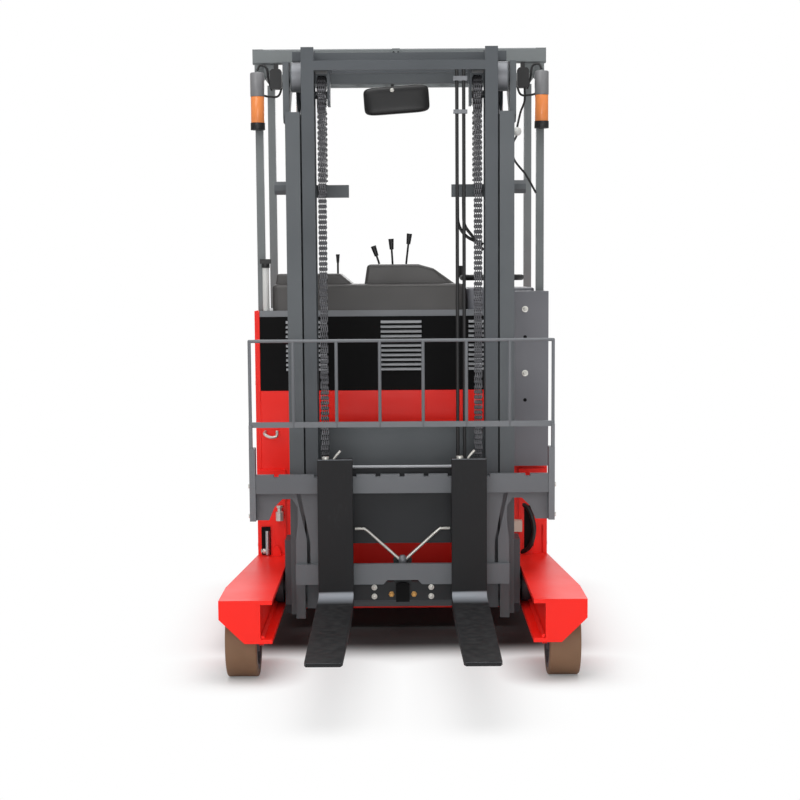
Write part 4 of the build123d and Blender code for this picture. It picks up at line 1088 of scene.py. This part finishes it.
@dataclass
class Cabin:
    """Back pad, floor ribs and mirror of the operator's place."""

    pad_centre: Point = (-32.5, 1090.0, 840.0)
    pad_half: Point = (27.5, 190.0, 140.0)
    seam_z: float = 48
    rib_rows: int = 36
    rib_pitch: float = 16.4
    rib_first_x: float = -40

    def pad(self) -> None:
        """A crowned pad with full sides and round corners, and a soft groove along each of its two seams."""
        flat, faces = Shapes.puffed((0, 0, 0), self.pad_half)
        points = flat / MM
        groove = 0.16 * np.exp(-((np.abs(points[..., 2]) - self.seam_z) / 7) ** 2)
        points[..., 0] *= 1 - groove * (points[..., 0] > 0)
        piece = Bench.make("back_cushion", [((points + np.array(self.pad_centre)) * MM, faces)], PAD_VINYL,
                           "chassis", 80)
        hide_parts("back_pad")
        sides = 96
        turn = np.arange(sides + 1) * 2 * math.pi / sides
        x, y, z = self.pad_centre
        edge = np.stack([np.full(sides + 1, x),
                         y + Shapes.fuller(np.cos(turn), 0.3) * (self.pad_half[1] + 0.5),
                         z + Shapes.fuller(np.sin(turn), 0.3) * (self.pad_half[2] + 0.5)], -1)
        Bench.make("pad_piping", [Shapes.tube(edge, 3.0, 8)], BLACK_PLASTIC, "chassis", 80)

    def mat(self) -> None:
        """Ribs of the floor mat: low round bars side by side."""
        swell = np.linspace(0, math.pi, 7)
        bars = []
        for row in range(self.rib_rows):
            x = self.rib_first_x + row * self.rib_pitch
            outline = [(x + 4 * math.cos(a), 266 + 2.4 * math.sin(a)) for a in swell]
            bars.append(Shapes.ruled(outline, Axis.Y, 870, 1300))
        Bench.make("mat_ribs", bars, RUBBER_MAT, "chassis")

    def mirror(self) -> None:
        """Shell, arm and bolt of the rear-view mirror, and its glass: a bulge that falls off to the rim."""
        shell = Bench.make("mirror_shell", [Shapes.puffed((-12, 404, 2084), (128, 20, 54), 4.0)],
                           BLACK_PLASTIC, "chassis", 50)
        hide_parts("rear_mirror")
        arm = Shapes.arc([(-30, 408, 2126), (-26, 408, 2150), (-30, 408, 2190), (-30, 408, 2224)], 6)
        Bench.make("mirror_arm", [Shapes.tube(arm, 7, 14)], BLACK_PLASTIC, "chassis")
        Bench.make("mirror_bolt", Shapes.bolt((-29, 385, 2120), Axis.Y, -1, 6), ZINC, "chassis")
        u, v = np.meshgrid(np.linspace(-1, 1, 13), np.linspace(-1, 1, 9), indexing="ij")
        lift = 5 * (1 - u ** 2) * (1 - v ** 2) ** 0.5
        x, z = u * 104, v * 38
        points = np.stack([x - z * 0.07 - 12, 422.0 + lift, 2084 + x * 0.07 + z], -1)
        Bench.make("mirror_face", [Shapes.grid(points * MM, False, False)], MIRROR_GLASS, "chassis", 60)

    def build(self) -> None:
        """Make the operator's place."""
        self.pad()
        self.mat()
        self.mirror()


@dataclass
class Studio:
    """Pale floor, soft lamps and the camera at the photograph's place."""

    lens_px: float = 1743.0
    camera_y: float = -6.523
    camera_z: float = 1.424
    pitch_deg: float = 6.5
    roll_deg: float = -0.38
    centre_px: tuple[float, float] = (402.0, 468.6)
    window_px: float = 800.0
    sensor_mm: float = 36.0
    sky: float = 0.36
    body_patch: tuple[tuple[float, float], ...] = ((0.0, 0.62), (0.50, 0.56))
    wheel_patch: tuple[tuple[float, float], ...] = ((0.555, -0.40), (0.05, 0.10))
    blade_patch: tuple[tuple[float, float], ...] = ((0.244, -0.62), (0.03, 0.50))
    lamps: list[tuple[str, Point, float, float]] = field(default_factory=lambda: [
        ("key", (-3.2, -5.2, 4.6), 3.4, 114.0),
        ("fill", (3.8, -4.6, 3.0), 3.0, 36.0),
        ("front", (0.0, -7.5, 0.7), 3.4, 132.0),
        ("top", (0.0, -0.6, 5.2), 4.0, 150.0),
        ("back", (0.0, 5.0, 3.6), 3.4, 110.0)])

    def build(self) -> None:
        """Make the floor, the lamps, the world and the camera."""
        self.floor()
        self.world()
        for name, place, size, power in self.lamps:
            self.lamp(name, Vector(place), size, power)
        self.camera()

    def camera(self) -> None:
        """Place the camera and shift its window as the photograph's frame needs."""
        data = bpy.data.cameras.new("camera")
        data.sensor_width = self.sensor_mm
        data.lens = self.lens_px / self.window_px * self.sensor_mm
        data.shift_x = (self.window_px / 2 - self.centre_px[0]) / self.window_px
        data.shift_y = (self.centre_px[1] - self.window_px / 2) / self.window_px
        data.clip_end = 100
        cam = bpy.data.objects.new("camera", data)
        bpy.context.scene.collection.objects.link(cam)
        pitch = Matrix.Rotation(math.radians(90 - self.pitch_deg), 4, "X")
        roll = Matrix.Rotation(math.radians(self.roll_deg), 4, "Z")
        cam.matrix_world = Matrix.Translation((0, self.camera_y, self.camera_z)) @ (pitch @ roll)
        bpy.context.scene.camera = cam

    def lamp(self, name: str, place: Vector, size: float, power: float) -> None:
        """Add a soft square lamp that points at the truck.

        Args:
            name: The lamp's name.
            place: Where it hangs.
            size: Its side in metres.
            power: Its power in watts.
        """
        data = bpy.data.lights.new(name, "AREA")
        data.energy = power
        data.size = size
        lamp = bpy.data.objects.new(name, data)
        bpy.context.scene.collection.objects.link(lamp)
        aim = Vector((0, 0, 1.0)) - place
        lamp.matrix_world = Matrix.Translation(place) @ aim.to_track_quat("-Z", "Y").to_matrix().to_4x4()

    def floor(self) -> None:
        """Lay a pale floor with a painted shadow under the body; it keeps the cast shadow near the truck and
        looks white to the camera elsewhere.
        """
        mesh = bpy.data.meshes.new("floor")
        half = 20.0
        corners = [(-half, -half, 0), (half, -half, 0), (half, half, 0), (-half, half, 0)]
        mesh.from_pydata(corners, [], [(0, 1, 2, 3)])
        plane = bpy.data.objects.new("floor", mesh)
        bpy.context.scene.collection.objects.link(plane)
        made = bpy.data.materials.new("studio_floor")
        made.use_nodes = True
        shop = NodeShop(made.node_tree)
        tree = shop.tree
        shader = tree.nodes["Principled BSDF"]
        shader.inputs["Roughness"].default_value = 0.9
        shader.inputs["Specular IOR Level"].default_value = 0.1
        glow = tree.nodes.new("ShaderNodeEmission")
        blend = tree.nodes.new("ShaderNodeMixShader")
        path = tree.nodes.new("ShaderNodeLightPath")
        place = shop.split("ShaderNodeTexCoord", "Object")
        side = shop.maths("ABSOLUTE", place["X"], 0.0)
        body, wheel, blade = (self.reach(shop, side, place["Y"], *patch)
                              for patch in (self.body_patch, self.wheel_patch, self.blade_patch))
        clear = shop.maths("MINIMUM", self.fade(shop, body, 0.0, 0.5, 0.0),
                           self.fade(shop, wheel, 0.02, 0.30, 0.16))
        clear = shop.maths("MINIMUM", clear, self.fade(shop, blade, 0.0, 0.3, 0.62))
        # Painted shadow: under the body the floor's own colour falls to a tenth of its white, on top of the
        # shadow the lamps cast.
        painted_shadow_colour = tree.nodes.new("ShaderNodeCombineColor")
        grey = shop.product(self.fade(shop, body, -0.02, 0.32, 0.10), 0.88)
        for channel in ("Red", "Green", "Blue"):
            tree.links.new(grey, painted_shadow_colour.inputs[channel])
        tree.links.new(painted_shadow_colour.outputs["Color"], shader.inputs["Base Color"])
        share = shop.maths("MULTIPLY", path.outputs["Is Camera Ray"], clear)
        tree.links.new(share, blend.inputs["Fac"])
        tree.links.new(shader.outputs[0], blend.inputs[1])
        tree.links.new(glow.outputs[0], blend.inputs[2])
        tree.links.new(blend.outputs[0], tree.nodes["Material Output"].inputs["Surface"])
        mesh.materials.append(made)

    @staticmethod
    def reach(shop: NodeShop, side: Socket, ahead: Socket, centre: tuple[float, float],
              half: tuple[float, float]) -> Socket:
        """Distance on the floor from a rectangle that stands on both sides of the middle line.

        Args:
            shop: The floor's nodes.
            side: Distance from the middle line.
            ahead: Place along the truck.
            centre: The rectangle's centre.
            half: Its half width and half length.

        Returns:
            The distance, 0 inside.
        """
        gaps = []
        for value, middle, limit in ((side, centre[0], half[0]), (ahead, centre[1], half[1])):
            off = shop.maths("ABSOLUTE", shop.maths("SUBTRACT", value, middle), 0.0)
            over = shop.maths("MAXIMUM", shop.maths("SUBTRACT", off, limit), 0.0)
            gaps.append(shop.maths("POWER", over, 2.0))
        return shop.maths("SQRT", shop.maths("ADD", *gaps), 0.0)

    @staticmethod
    def fade(shop: NodeShop, value: Socket, near: float, far: float, least: float) -> Socket:
        """Rise smoothly from the least amount to 1 between two distances.

        Args:
            shop: The floor's nodes.
            value: The distance.
            near: Where the rise starts.
            far: Where it ends.
            least: The amount before the rise.

        Returns:
            The amount.
        """
        node = shop.tree.nodes.new("ShaderNodeMapRange")
        node.interpolation_type = "SMOOTHSTEP"
        for label, number in (("From Min", near), ("From Max", far), ("To Min", least), ("To Max", 1.0)):
            node.inputs[label].default_value = number
        shop.feed(node.inputs["Value"], value)
        return node.outputs["Result"]

    def world(self) -> None:
        """Light softly from all sides, and show white to the camera and through clear surfaces."""
        world = bpy.data.worlds.new("studio")
        bpy.context.scene.world = world
        world.use_nodes = True
        shop = NodeShop(world.node_tree)
        tree = shop.tree
        soft = tree.nodes["Background"]
        soft.inputs["Color"].default_value = (1, 1, 1, 1)
        soft.inputs["Strength"].default_value = self.sky
        white = tree.nodes.new("ShaderNodeBackground")
        white.inputs["Color"].default_value = (1, 1, 1, 1)
        white.inputs["Strength"].default_value = 1.0
        path = tree.nodes.new("ShaderNodeLightPath")
        seen = shop.maths("MAXIMUM", path.outputs["Is Camera Ray"], path.outputs["Is Transmission Ray"])
        blend = tree.nodes.new("ShaderNodeMixShader")
        tree.links.new(seen, blend.inputs["Fac"])
        tree.links.new(soft.outputs[0], blend.inputs[1])
        tree.links.new(white.outputs[0], blend.inputs[2])
        tree.links.new(blend.outputs[0], tree.nodes["World Output"].inputs["Surface"])


def main() -> None:
    """Build the studio and dress the truck, one sub-assembly after another."""
    logging.basicConfig(level=logging.INFO, format="%(name)s: %(message)s")
    Studio().build()
    Frame().dress()
    LeafChains().build()
    Hardware().build()
    Wheels().build()
    Cabin().build()
    bpy.context.scene.view_settings.view_transform = "Standard"


if __name__ == "__main__":
    main()
